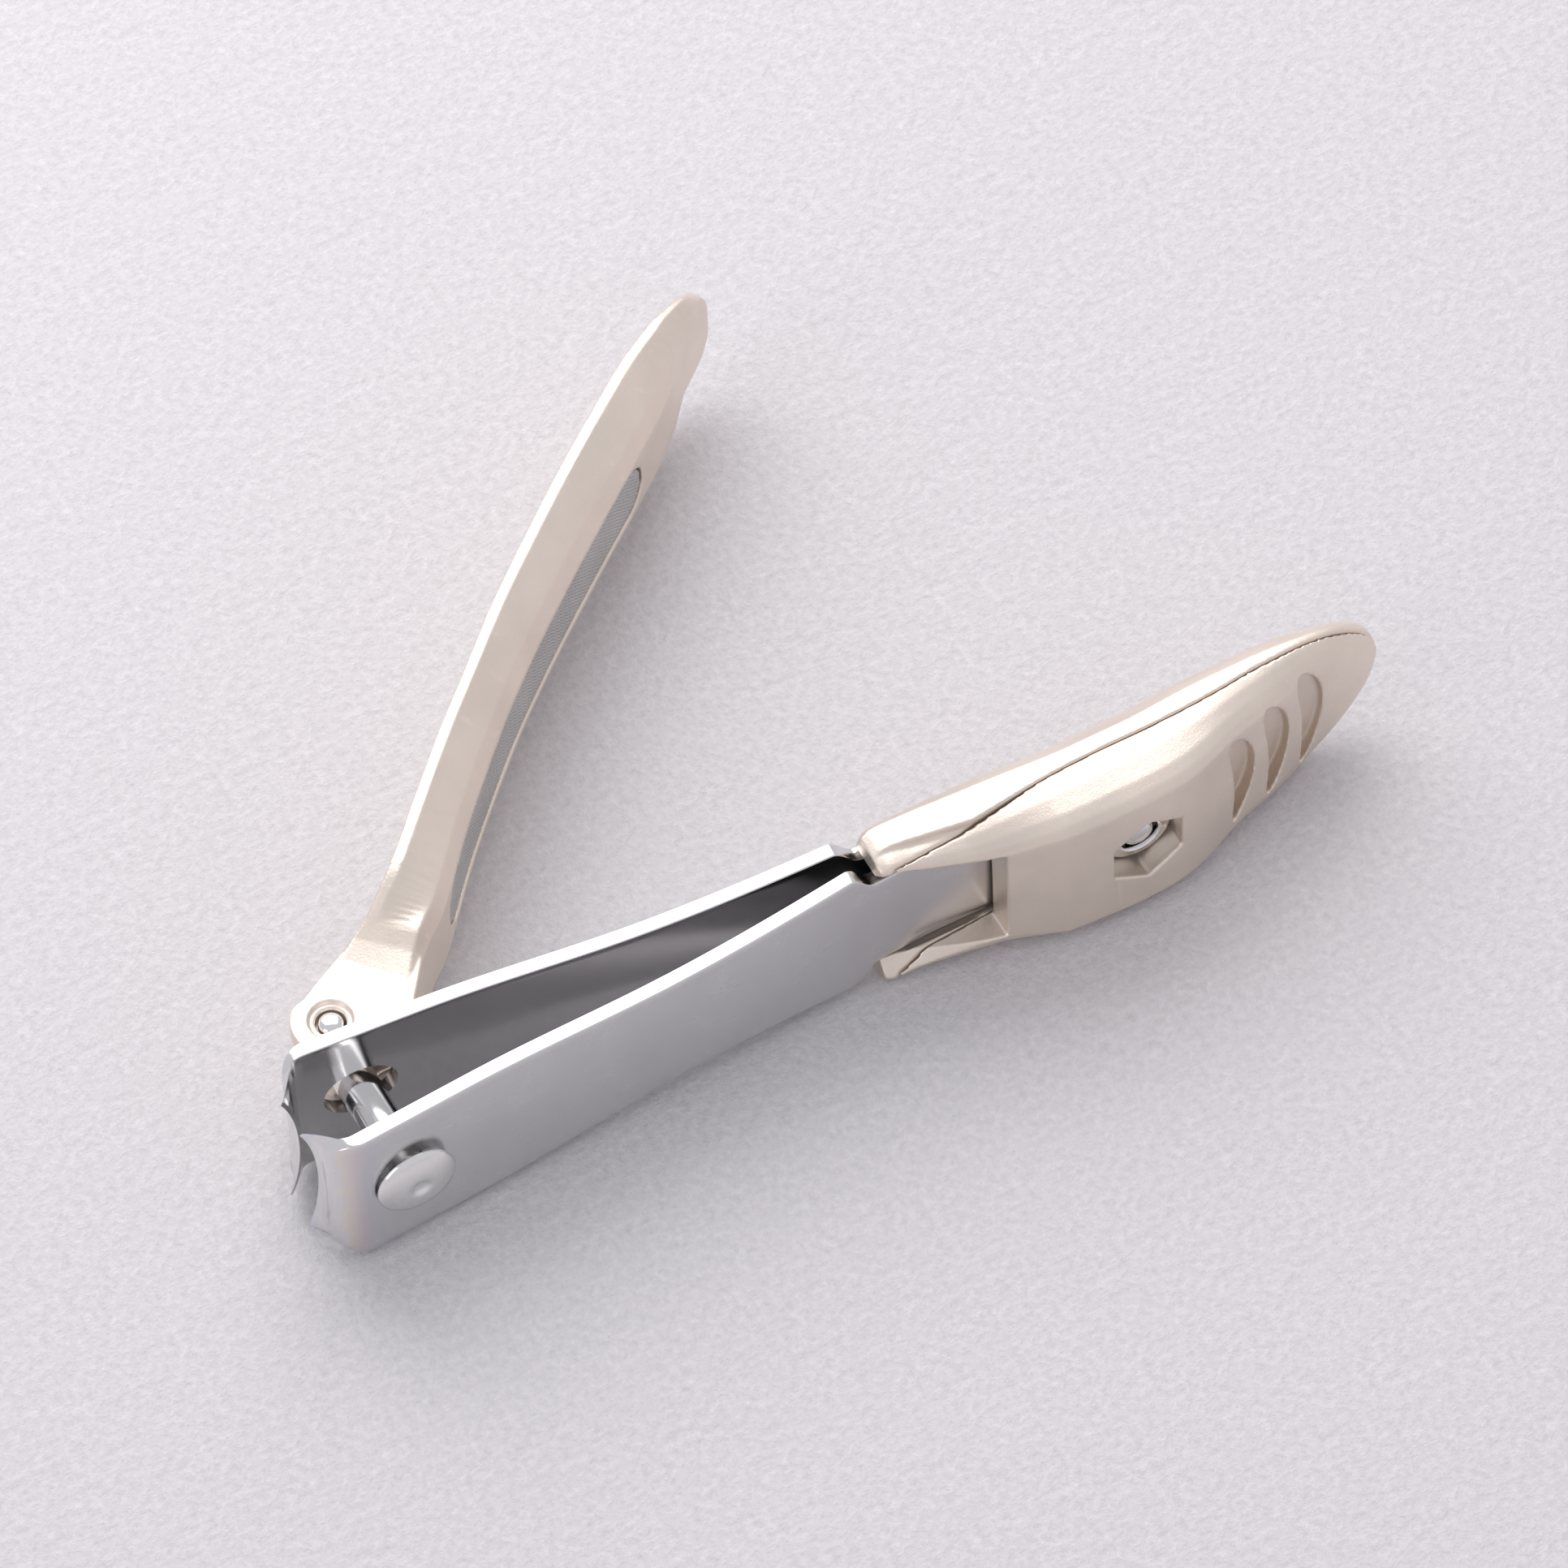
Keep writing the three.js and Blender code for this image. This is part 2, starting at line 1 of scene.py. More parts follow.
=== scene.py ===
"""Nail clipper: finished pieces, finishes and a small studio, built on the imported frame.

Sizes inside the functions are millimetres with X = 0 at the post, X towards the end of
the handle, +Y the lever's side and Z = 0 on the middle plane. settle() moves a finished
mesh to its place in the frame, in metres.
"""

import json
import math

import bmesh
import bpy
from mathutils import Matrix, Vector


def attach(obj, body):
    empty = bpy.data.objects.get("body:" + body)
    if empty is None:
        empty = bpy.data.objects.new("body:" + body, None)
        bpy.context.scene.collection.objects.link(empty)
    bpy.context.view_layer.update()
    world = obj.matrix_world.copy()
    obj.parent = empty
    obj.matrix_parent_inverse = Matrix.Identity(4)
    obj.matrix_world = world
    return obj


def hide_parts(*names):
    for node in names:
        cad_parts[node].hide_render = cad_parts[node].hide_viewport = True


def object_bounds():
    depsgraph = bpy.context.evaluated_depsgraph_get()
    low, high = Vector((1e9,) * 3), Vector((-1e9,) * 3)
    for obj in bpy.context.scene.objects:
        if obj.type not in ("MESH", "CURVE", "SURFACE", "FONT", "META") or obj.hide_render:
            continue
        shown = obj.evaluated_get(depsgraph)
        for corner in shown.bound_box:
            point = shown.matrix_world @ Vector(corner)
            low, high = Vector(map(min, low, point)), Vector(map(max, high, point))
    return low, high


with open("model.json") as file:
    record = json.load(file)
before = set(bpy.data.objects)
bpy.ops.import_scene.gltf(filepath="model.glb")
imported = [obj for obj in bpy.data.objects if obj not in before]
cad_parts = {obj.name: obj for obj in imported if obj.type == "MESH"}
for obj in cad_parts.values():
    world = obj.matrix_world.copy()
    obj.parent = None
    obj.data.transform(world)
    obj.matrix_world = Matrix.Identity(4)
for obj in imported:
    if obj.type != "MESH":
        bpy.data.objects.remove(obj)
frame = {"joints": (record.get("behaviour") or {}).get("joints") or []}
CAD_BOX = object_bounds()

bl_info = {
    "name": "Nail clipper",
    "version": (1, 0, 0),
    "blender": (4, 5, 0),
    "location": "View3D > Sidebar > Clipper",
    "description": "Builds the finished pieces of a lever nail clipper with a cast handle",
    "category": "Object",
}

MM = 0.001
POST_X = -0.1
PIN_Y = 8.55
JOINTS = {joint["name"]: joint for joint in frame["joints"]}
ORIGIN = Vector(JOINTS["post_swivel"]["pos_m"]) - Vector((POST_X, 0, 0)) * MM
TO_FRAME = Matrix.Translation(ORIGIN) @ Matrix.Scale(MM, 4)


# ---- plain helpers -------------------------------------------------------------


def along(table, x):
    """Straight-line value of a table of (x, value) rows."""
    if x <= table[0][0]:
        return table[0][1]
    for (x0, v0), (x1, v1) in zip(table, table[1:]):
        if x <= x1:
            return v0 + (v1 - v0) * (x - x0) / (x1 - x0)
    return table[-1][1]


def flow(table, x):
    """The same table read as a smooth curve through its rows, without overshoot."""
    if x <= table[0][0]:
        return table[0][1]
    if x >= table[-1][0]:
        return table[-1][1]
    slopes = [(b[1] - a[1]) / (b[0] - a[0]) for a, b in zip(table, table[1:])]
    i = next(k for k in range(len(slopes)) if x <= table[k + 1][0])

    def lean(k):
        if k <= 0:
            return slopes[0]
        if k >= len(slopes):
            return slopes[-1]
        before, after = slopes[k - 1], slopes[k]
        return 0.0 if before * after <= 0 else 2 * before * after / (before + after)

    (x0, v0), (x1, v1) = table[i], table[i + 1]
    run = x1 - x0
    t = (x - x0) / run
    start, end = lean(i) * run, lean(i + 1) * run
    return (
        v0 * (2 * t**3 - 3 * t**2 + 1)
        + start * (t**3 - 2 * t**2 + t)
        + v1 * (3 * t**2 - 2 * t**3)
        + end * (t**3 - t**2)
    )


def spread(low, high, count):
    """count + 1 evenly spaced values from low to high."""
    return [low + (high - low) * i / count for i in range(count + 1)]


def mesh_object(name, verts, faces):
    """A linked object from plain vertices and faces, with closed and outward faces."""
    obj = bare_object(name, verts, [], faces)
    turn_outwards(obj)
    return obj


def bare_object(name, verts, edges, faces):
    """A linked object from plain vertices, edges and faces, left as they are."""
    mesh = bpy.data.meshes.new(name)
    mesh.from_pydata([tuple(v) for v in verts], edges, faces)
    obj = bpy.data.objects.new(name, mesh)
    bpy.context.scene.collection.objects.link(obj)
    return obj


def discard(obj):
    mesh = obj.data
    bpy.data.objects.remove(obj)
    bpy.data.meshes.remove(mesh)


def turn_outwards(obj, merge=1e-4):
    shape = bmesh.new()
    shape.from_mesh(obj.data)
    bmesh.ops.remove_doubles(shape, verts=shape.verts, dist=merge)
    bmesh.ops.recalc_face_normals(shape, faces=shape.faces)
    shape.to_mesh(obj.data)
    shape.free()


def skin(rings):
    """Vertices and faces of an open skin over rings of equal length."""
    count = len(rings[0])
    verts = [v for ring in rings for v in ring]
    faces = []
    for r in range(len(rings) - 1):
        for i in range(count):
            j = (i + 1) % count
            a, b = r * count, (r + 1) * count
            faces.append((a + i, a + j, b + j, b + i))
    return verts, faces


def loft(name, rings):
    """A closed solid over rings of equal length."""
    count = len(rings[0])
    verts, faces = skin(rings)
    faces.append(tuple(range(count))[::-1])
    faces.append(tuple((len(rings) - 1) * count + i for i in range(count)))
    return mesh_object(name, verts, faces)


def prism_z(name, outline, low, high):
    return loft(name, [[(x, y, z) for x, y in outline] for z in (low, high)])


def prism_y(name, outline, low, high):
    return loft(name, [[(x, y, z) for x, z in outline] for y in (low, high)])


def circle(radius, count, x=0.0, y=0.0, stretch=0.0):
    turns = [2 * math.pi * i / count for i in range(count)]
    return [(x + (radius + stretch) * math.cos(t), y + radius * math.sin(t)) for t in turns]


def box(name, low, high):
    outline = [(low[0], low[1]), (high[0], low[1]), (high[0], high[1]), (low[0], high[1])]
    return prism_z(name, outline, low[2], high[2])


def evaluate(obj):
    """The object's mesh with its modifiers applied and removed."""
    view = bpy.context.evaluated_depsgraph_get()
    view.update()
    mesh = bpy.data.meshes.new_from_object(obj.evaluated_get(view), depsgraph=view)
    old = obj.data
    obj.modifiers.clear()
    obj.data = mesh
    if old.users == 0:
        bpy.data.meshes.remove(old)
    return obj


def join_by(obj, other, operation):
    """obj changed by another solid, which is used up."""
    step = obj.modifiers.new(operation, "BOOLEAN")
    step.operation = operation
    step.solver = "EXACT"
    step.object = other
    evaluate(obj)
    discard(other)
    return obj


def cut(obj, *tools):
    for tool in tools:
        join_by(obj, tool, "DIFFERENCE")
    return obj


def cast(obj, cell, rounds):
    """Turns a sharp solid into an even skin with the soft edges of a casting."""
    skin = obj.modifiers.new("skin", "REMESH")
    skin.mode = "VOXEL"
    skin.voxel_size = cell
    skin.adaptivity = 0.0
    soft = obj.modifiers.new("soft", "SMOOTH")
    soft.factor = 0.5
    soft.iterations = rounds
    return evaluate(obj)


def thin_out(obj, share):
    step = obj.modifiers.new("thin", "DECIMATE")
    step.ratio = share
    return evaluate(obj)


def settle(obj, name, body, node, finish, angle=None):
    """Places a finished mesh in the frame, gives it its finish, ties it to its body and hides the imported
    node that it stands for.
    """
    obj.name = name
    obj.data.name = name
    obj.data.transform(TO_FRAME)
    obj.data.shade_smooth()
    if angle is not None:
        obj.data.set_sharp_from_angle(angle=math.radians(angle))
    obj.data.materials.clear()
    for material in finish:
        obj.data.materials.append(material)
    obj.data.update()
    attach(obj, body)
    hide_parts(node)
    return obj


# ---- shader groups and finishes --------------------------------------------------


def new_tree(name, kind, inputs, outputs):
    """A node tree with its named sockets, and its input and output nodes."""
    tree = bpy.data.node_groups.new(name, kind)
    for label, socket_type, value in inputs:
        socket = tree.interface.new_socket(label, in_out="INPUT", socket_type=socket_type)
        if value is not None:
            socket.default_value = value
    for label, socket_type in outputs:
        tree.interface.new_socket(label, in_out="OUTPUT", socket_type=socket_type)
    return tree, tree.nodes.new("NodeGroupInput"), tree.nodes.new("NodeGroupOutput")


def node(tree, kind, links=None, **values):
    """A node with its plain values set and its inputs linked or filled by name or number."""
    made = tree.nodes.new(kind)
    for key, value in values.items():
        setattr(made, key, value)
    for key, value in (links or {}).items():
        socket = made.inputs[key]
        if isinstance(value, bpy.types.NodeSocket):
            tree.links.new(value, socket)
        else:
            socket.default_value = value
    return made


def first_of(tree, kind, links=None, **values):
    """The first output of a new node."""
    return node(tree, kind, links, **values).outputs[0]


def maths(tree, operation, first, second=0.0, third=0.0):
    return first_of(tree, "ShaderNodeMath", {0: first, 1: second, 2: third}, operation=operation)


def remap(tree, value, low, high, to_low=0.0, to_high=1.0):
    links = {"Value": value, "From Min": low, "From Max": high, "To Min": to_low, "To Max": to_high}
    return first_of(tree, "ShaderNodeMapRange", links, clamp=True)


def blend_colour(tree, share, first, second):
    made = node(tree, "ShaderNodeMix", {0: share, 6: first, 7: second}, data_type="RGBA")
    return made.outputs[2]


def noise(tree, place, scale, **values):
    """A noise texture's plain value; the values name its other sockets."""
    links = {"Vector": place, "Scale": scale}
    links.update({key.capitalize(): value for key, value in values.items()})
    return first_of(tree, "ShaderNodeTexNoise", links)


def mapped(tree, place, scale, turn=(0, 0, 0)):
    """Coordinates turned and then stretched, so that a noise on them becomes lines."""
    return first_of(tree, "ShaderNodeMapping", {"Vector": place, "Rotation": turn, "Scale": scale})


def shader_group(name, values, outputs):
    """A shader group with a Vector input, inputs with the given values, and value outputs."""
    rows = [("Vector", "NodeSocketVector", (0, 0, 0))]
    rows += [(label, "NodeSocketFloat", value) for label, value in values.items()]
    return new_tree(name, "ShaderNodeTree", rows, [(label, "NodeSocketFloat") for label in outputs])


def blasted_grain_group():
    """Fine even pits and soft cloudy variation of a blasted and coated surface."""
    group, start, end = shader_group(
        "Blasted grain",
        {"Grain Size": 0.12, "Depth": 0.4, "Cloud Size": 6.0},
        ["Height", "Cloud", "Sparkle"],
    )
    place = start.outputs["Vector"]
    fine_scale = maths(group, "DIVIDE", 1.0 / MM, start.outputs["Grain Size"])
    cloud_scale = maths(group, "DIVIDE", 1.0 / MM, start.outputs["Cloud Size"])
    fine = noise(group, place, fine_scale, detail=3.0, roughness=0.6)
    coarse = noise(group, place, maths(group, "MULTIPLY", fine_scale, 0.31), detail=2.0)
    cloud = noise(group, place, cloud_scale, detail=4.0)
    both = maths(group, "MULTIPLY_ADD", coarse, 0.6, fine)
    height = maths(group, "MULTIPLY", both, start.outputs["Depth"])
    group.links.new(height, end.inputs["Height"])
    group.links.new(remap(group, cloud, 0.3, 0.7), end.inputs["Cloud"])
    group.links.new(remap(group, fine, 0.56, 0.72), end.inputs["Sparkle"])
    return group


def edge_and_hollow_shade_group():
    """A mask along outer edges, broken up by noise, and a mask in hollows for painted shade, where less
    light reaches.
    """
    group, start, end = shader_group(
        "Edge lightening and hollow shade", {"Edge From": 0.52, "Edge To": 0.62, "Break Up": 0.4}, ["Edge", "Hollow Shade"]
    )
    point = node(group, "ShaderNodeNewGeometry").outputs["Pointiness"]
    speck = noise(group, start.outputs["Vector"], 900.0, detail=3.0)
    edge = remap(group, point, start.outputs["Edge From"], start.outputs["Edge To"])
    broken = maths(group, "MULTIPLY_ADD", speck, start.outputs["Break Up"], 1.0)
    broken = maths(group, "SUBTRACT", broken, start.outputs["Break Up"])
    group.links.new(maths(group, "MULTIPLY", edge, broken), end.inputs["Edge"])
    # painted shade: the hollows mask, for darkening where less light falls
    group.links.new(remap(group, point, 0.48, 0.4), end.inputs["Hollow Shade"])
    return group


def rolled_steel_group():
    """Long fine rolling lines and faint smears of a stamped and polished sheet."""
    group, start, end = shader_group(
        "Rolled steel", {"Line Size": 0.05, "Depth": 0.2}, ["Height", "Smear", "Scratch"]
    )
    place = start.outputs["Vector"]
    lines_scale = maths(group, "DIVIDE", 1.0 / MM, start.outputs["Line Size"])
    lines = noise(group, mapped(group, place, (0.03, 1.0, 1.0)), lines_scale, detail=2.0)
    smear = noise(group, place, 160.0, detail=5.0, distortion=0.6)
    scratch_place = mapped(group, place, (0.05, 1.0, 1.0), turn=(0.3, 0.5, 0.7))
    scratch = noise(group, scratch_place, 2600.0, detail=1.0)
    group.links.new(maths(group, "MULTIPLY", lines, start.outputs["Depth"]), end.inputs["Height"])
    group.links.new(remap(group, smear, 0.35, 0.7), end.inputs["Smear"])
    group.links.new(remap(group, scratch, 0.68, 0.74), end.inputs["Scratch"])
    return group


def place_group(tree, group, links):
    return node(tree, "ShaderNodeGroup", links, node_tree=group).outputs


def new_material(name):
    material = bpy.data.materials.new(name)
    material.use_nodes = True
    tree = material.node_tree
    shader = tree.nodes["Principled BSDF"]
    place = node(tree, "ShaderNodeTexCoord").outputs["Object"]
    return material, tree, shader, place


def set_bump(tree, shader, height, distance):
    bump = node(tree, "ShaderNodeBump", {"Height": height, "Strength": 1.0, "Distance": distance})
    tree.links.new(bump.outputs["Normal"], shader.inputs["Normal"])


def shade(colour, factor):
    return (colour[0] * factor, colour[1] * factor, colour[2] * factor, 1.0)


def casting_material(colour, groups):
    material, tree, shader, place = new_material("Satin champagne casting")
    grain = place_group(tree, groups["grain"], {"Vector": place, "Grain Size": 0.16, "Depth": 1.0})
    edge_and_shade_masks = place_group(tree, groups["edge_and_shade_masks"], {"Vector": place, "Edge From": 0.53, "Edge To": 0.66})
    base = blend_colour(tree, grain["Cloud"], shade(colour, 0.94), shade(colour, 1.04))
    base = blend_colour(tree, maths(tree, "MULTIPLY", grain["Sparkle"], 0.12), base, shade(colour, 1.3))
    # lighter along outer edges, broken up by noise
    base = blend_colour(tree, maths(tree, "MULTIPLY", edge_and_shade_masks["Edge"], 0.35), base, shade(colour, 1.22))
    # painted shade: the coat darker in hollows, where less light falls
    base = blend_colour(tree, maths(tree, "MULTIPLY", edge_and_shade_masks["Hollow Shade"], 0.45), base, shade(colour, 0.62))
    tree.links.new(base, shader.inputs["Base Color"])
    rough = remap(tree, grain["Cloud"], 0.0, 1.0, 0.36, 0.43)
    tree.links.new(rough, shader.inputs["Roughness"])
    shader.inputs["Metallic"].default_value = 0.82
    set_bump(tree, shader, grain["Height"], 0.02 * MM)
    return material


def steel_material(name, colour, rough, groups, tint=False):
    material, tree, shader, place = new_material(name)
    steel = place_group(tree, groups["steel"], {"Vector": place, "Line Size": 0.25, "Depth": 1.0})
    base = blend_colour(tree, steel["Smear"], shade(colour, 0.975), shade(colour, 1.02))
    if tint:
        base = heat_tint(tree, place, base)
    tree.links.new(base, shader.inputs["Base Color"])
    smeared = remap(tree, steel["Smear"], 0.0, 1.0, rough * 0.94, rough * 1.08)
    scratched = maths(tree, "MULTIPLY_ADD", steel["Scratch"], 0.02, smeared)
    tree.links.new(scratched, shader.inputs["Roughness"])
    shader.inputs["Metallic"].default_value = 1.0
    set_bump(tree, shader, steel["Height"], 0.0006 * MM)
    return material


# (place, colour) of the temper colours, from the cutting edge backwards
TEMPER_BANDS = [
    (0.0, (0.76, 0.74, 0.74)),
    (0.22, (0.62, 0.68, 0.82)),
    (0.45, (0.82, 0.75, 0.63)),
    (0.65, (0.77, 0.68, 0.70)),
    (0.85, (0.70, 0.73, 0.80)),
    (1.0, (0.75, 0.75, 0.76)),
]


def heat_tint(tree, place, base):
    """The faint temper colours that grinding leaves behind the cutting edge."""
    axes = node(tree, "ShaderNodeSeparateXYZ", {"Vector": place}).outputs
    ripple = noise(tree, place, 260.0, detail=2.0, distortion=1.2)
    start = ORIGIN.x - 7.2 * MM
    end = ORIGIN.x - 1.3 * MM
    wave = maths(tree, "MULTIPLY_ADD", ripple, 2.4 * MM, axes["X"])
    ramp = node(tree, "ShaderNodeValToRGB", {"Fac": remap(tree, wave, start, end)})
    elements = ramp.color_ramp.elements
    while len(elements) < len(TEMPER_BANDS):
        elements.new(1.0)
    for element, (position, colour) in zip(elements, TEMPER_BANDS):
        element.position = position
        element.color = (*colour, 1)
    near = remap(tree, axes["X"], end, ORIGIN.x - 4.6 * MM, 0.0, 0.6)
    return blend_colour(tree, near, base, ramp.outputs["Color"])


def file_material(colour, groups):
    material, tree, shader, place = new_material("Cut file steel")
    grain = place_group(tree, groups["grain"], {"Vector": place, "Grain Size": 0.1, "Depth": 1.0})
    base = blend_colour(tree, grain["Cloud"], shade(colour, 0.86), shade(colour, 1.06))
    base = blend_colour(tree, maths(tree, "MULTIPLY", grain["Sparkle"], 0.4), base, shade(colour, 1.5))
    tree.links.new(base, shader.inputs["Base Color"])
    tree.links.new(remap(tree, grain["Cloud"], 0, 1, 0.38, 0.5), shader.inputs["Roughness"])
    shader.inputs["Metallic"].default_value = 0.95
    set_bump(tree, shader, grain["Height"], 0.015 * MM)
    return material


def paper_material(colour):
    material, tree, shader, place = new_material("Soft paper")
    pulp = noise(tree, place, 1300.0, detail=6.0, roughness=0.7)
    mottle = noise(tree, place, 330.0, detail=3.0)
    fibre_place = mapped(tree, place, (0.12, 1.0, 1.0), turn=(0, 0, 0.8))
    fibre = noise(tree, fibre_place, 1500.0, detail=2.0, distortion=1.0)
    light = remap(tree, pulp, 0.3, 0.7)
    base = blend_colour(tree, light, shade(colour, 0.85), shade(colour, 1.12))
    base = blend_colour(tree, remap(tree, mottle, 0.35, 0.65, 0.0, 0.4), base, shade(colour, 0.97))
    base = blend_colour(tree, remap(tree, fibre, 0.66, 0.78, 0.0, 0.35), base, shade(colour, 0.86))
    tree.links.new(base, shader.inputs["Base Color"])
    shader.inputs["Roughness"].default_value = 0.9
    shader.inputs["Specular IOR Level"].default_value = 0.2
    rise = maths(tree, "MULTIPLY_ADD", mottle, 0.6, pulp)
    set_bump(tree, shader, rise, 0.26 * MM)
    return material


FINISHES = {}


def finishes():
    """The materials, made once from the colours in the panel."""
    if FINISHES:
        return FINISHES
    colours = bpy.context.scene.clipper_colours
    groups = {
        "grain": blasted_grain_group(),
        "edge_and_shade_masks": edge_and_hollow_shade_group(),
        "steel": rolled_steel_group(),
    }
    FINISHES["casting"] = casting_material(colours.casting, groups)
    FINISHES["satin"] = steel_material("Satin blade steel", colours.blade, 0.26, groups, tint=True)
    FINISHES["mirror"] = steel_material("Polished blade steel", colours.blade, 0.14, groups)
    FINISHES["bright"] = steel_material("Bright turned steel", colours.turned, 0.12, groups)
    FINISHES["file"] = file_material(colours.file, groups)
    return FINISHES


# ---- blades ----------------------------------------------------------------------

BLADE_TAIL = 69.5
BLADE_BEND = 49.5
TAIL_FACE = 0.35
TAIL_CORNER = 2.5
FACE_AT_POST = 3.85
SPREAD = 0.0739
BLADE_EDGE = 0.13
JAW_HALF, WAIST_HALF, TAIL_HALF = 7.5, 6.37, 5.35
JAW_NARROWS_X = -4.9
JAW_NARROWS_BY = 1.1
WAIST_FROM, WAIST_X, TAIL_FROM, TAIL_STEP = 5.5, 26.0, 40.4, 2.3
WAIST_WIDENS_BY = 1.2
EDGE_X, EDGE_Y = -7.78, 1.6
EDGE_BOW = 1.2
CORNER_X = -6.72
JAW_TOP = 5.45
JAW_BEND = 2.3
JAW_BEND_X = -4.0
JAW_HOLLOW = 0.16
ROUND_FROM, ROUND_LENGTH, ROUND_BY = -4.6, 2.15, 0.9
BORE_STRETCH = 0.45
RIVET_X = 64.7
RIVET_HOLE = 1.7
# lengths over which the jaw narrows to its edge and the waist widens again
JAW_NARROWS_OVER, WAIST_WIDENS_OVER = 2.9, 36.0


def inner_face(x):
    return FACE_AT_POST - SPREAD * x


def half_wave(t):
    """0 to 1 and level at both ends, as t goes from 0 to 1."""
    return (1 - math.cos(math.pi * t)) / 2


def blade_half(x):
    """Half the blade's width along its length."""
    if x < JAW_NARROWS_X:
        step = min(1.0, (JAW_NARROWS_X - x) / JAW_NARROWS_OVER)
        return JAW_HALF - JAW_NARROWS_BY * step * step
    if x < WAIST_FROM:
        return JAW_HALF
    if x < WAIST_X:
        return JAW_HALF - (JAW_HALF - WAIST_HALF) * half_wave((x - WAIST_FROM) / (WAIST_X - WAIST_FROM))
    full = WAIST_HALF + 2 * WAIST_WIDENS_BY * half_wave((x - WAIST_X) / WAIST_WIDENS_OVER)
    if x < TAIL_FROM:
        return full
    return full + (TAIL_HALF - full) * half_wave(min(1.0, (x - TAIL_FROM) / TAIL_STEP))


def tail_half(x):
    """The blade's half width with the tail's rounded corners."""
    half = blade_half(x)
    past = x - (BLADE_TAIL - TAIL_CORNER)
    if past > 0:
        half -= TAIL_CORNER - math.sqrt(max(0.0, TAIL_CORNER**2 - past * past))
    return max(half, 0.3)


def blade_pairs(across, sheet):
    """Matching outer and inner points of the upper blade's section at one place across it."""
    back = EDGE_BOW * (1 - across * across)
    edge_x = EDGE_X + back
    corner_x = CORNER_X + back * 0.12
    pairs = []
    for x in spread(BLADE_TAIL, BLADE_TAIL - 3, 10) + spread(BLADE_TAIL - 4, BLADE_BEND + 1.6, 5):
        pairs.append(((x, TAIL_FACE + sheet), (x, TAIL_FACE)))
    for i, back_by in enumerate((-0.8, 0.0, 0.8, 1.6, 2.5)):
        x = BLADE_BEND - back_by
        lift = max(0.0, inner_face(x) - TAIL_FACE) * ((i + 1) / 5) ** 0.4
        pairs.append(((x, TAIL_FACE + sheet + lift), (x, TAIL_FACE + lift)))
    for x in spread(BLADE_BEND - 3.2, 43.2, 3) + spread(42.9, 40.2, 9) + spread(39, -3.6, 42):
        pairs.append(((x, inner_face(x) + sheet), (x, inner_face(x))))
    outer = [(-3.85, inner_face(-3.85) + sheet)]
    for angle in spread(6, 90, 6):
        turn = math.radians(angle)
        reach = (corner_x - JAW_BEND_X) * math.sin(turn)
        outer.append((JAW_BEND_X + reach, JAW_TOP - JAW_BEND * (1 - math.cos(turn))))
    inner = [
        (-4.2, inner_face(-4.2)),
        (-4.5, inner_face(-4.5)),
        (-4.75, 4.18),
        (-4.95, 4.15),
        (-5.15, 4.12),
        (-5.3 + back * 0.05, 4.09),
        (-5.42 + back * 0.08, 4.06),
        (-5.55 + back * 0.1, 4.0),
    ]
    start, stop = Vector(inner[-1]), Vector((edge_x + 0.3, EDGE_Y + 0.12))
    shoulder = JAW_TOP - JAW_BEND
    for t in spread(0, 1, 7)[1:]:
        hollow = JAW_HOLLOW * math.sin(math.pi * t)
        outer.append((corner_x + (edge_x - corner_x) * t + hollow, shoulder + (EDGE_Y - shoulder) * t))
        inner.append(tuple(start.lerp(stop, t)))
    pairs.extend(zip(outer, inner))
    return pairs


def corner_round(point):
    """How much the bent jaw's outer corner stands in from its side."""
    if point.x > ROUND_FROM:
        return 0.0
    turn = min(1.0, (ROUND_FROM - point.x) / ROUND_LENGTH)
    return ROUND_BY * turn * turn * min(1.0, max(0.0, (point.y - EDGE_Y) / 2.0))


def blade_mesh(name, sheet, hole, side):
    """One blade; side is 1 for the lever's side and -1 for the other, mirrored."""
    turns = [math.pi / 2 * i / 4 for i in range(5)]
    rows = [(-1.0, turn) for turn in turns]
    rows += [(across, math.pi / 2) for across in spread(-1, 1, 20)[1:-1]]
    rows += [(1.0, turn) for turn in reversed(turns)]
    rings = []
    for across, turn in rows:
        inset = BLADE_EDGE * (1 - math.sin(turn))
        outer_ring, inner_ring = [], []
        for outer, inner in blade_pairs(across, sheet):
            gap = Vector(inner) - Vector(outer)
            move = gap.normalized() * min(inset, gap.length * 0.3)
            for ring, point in ((outer_ring, Vector(outer) + move), (inner_ring, Vector(inner) - move)):
                reach = tail_half(point.x) - BLADE_EDGE * (1 - math.cos(turn))
                if ring is outer_ring:
                    reach -= corner_round(point)
                ring.append((point.x, point.y * side, across * reach))
        rings.append(outer_ring + inner_ring[::-1])
    verts, faces = skin(rings)
    obj = mesh_object(name, verts, faces + side_strips(len(rings), len(rings[0])))
    lean = Matrix.Rotation(math.atan(SPREAD) * -side, 4, "Z")
    middle = Matrix.Translation((0, side * (FACE_AT_POST + sheet / 2), 0))
    bore = prism_y("bore", circle(hole, 64, stretch=BORE_STRETCH), -3, 3)
    bore.data.transform(middle @ lean)
    cut(obj, bore, prism_y("rivet hole", circle(RIVET_HOLE, 48, x=RIVET_X), -4, 4))
    return obj


def side_strips(ring_count, count):
    """Faces that close the two long edges, between matching outer and inner points."""
    strips = []
    for first in (0, (ring_count - 1) * count):
        for i in range(count // 2 - 1):
            strips.append((first + i, first + i + 1, first + count - 2 - i, first + count - 1 - i))
    return strips


def paint_blade(obj, side):
    """The outer face is satin; the inner face and the edges are polished."""
    for face in obj.data.polygons:
        outward = face.normal.y * side
        face.material_index = 0 if outward > 0.6 else 1


# ---- handle ------------------------------------------------------------------------

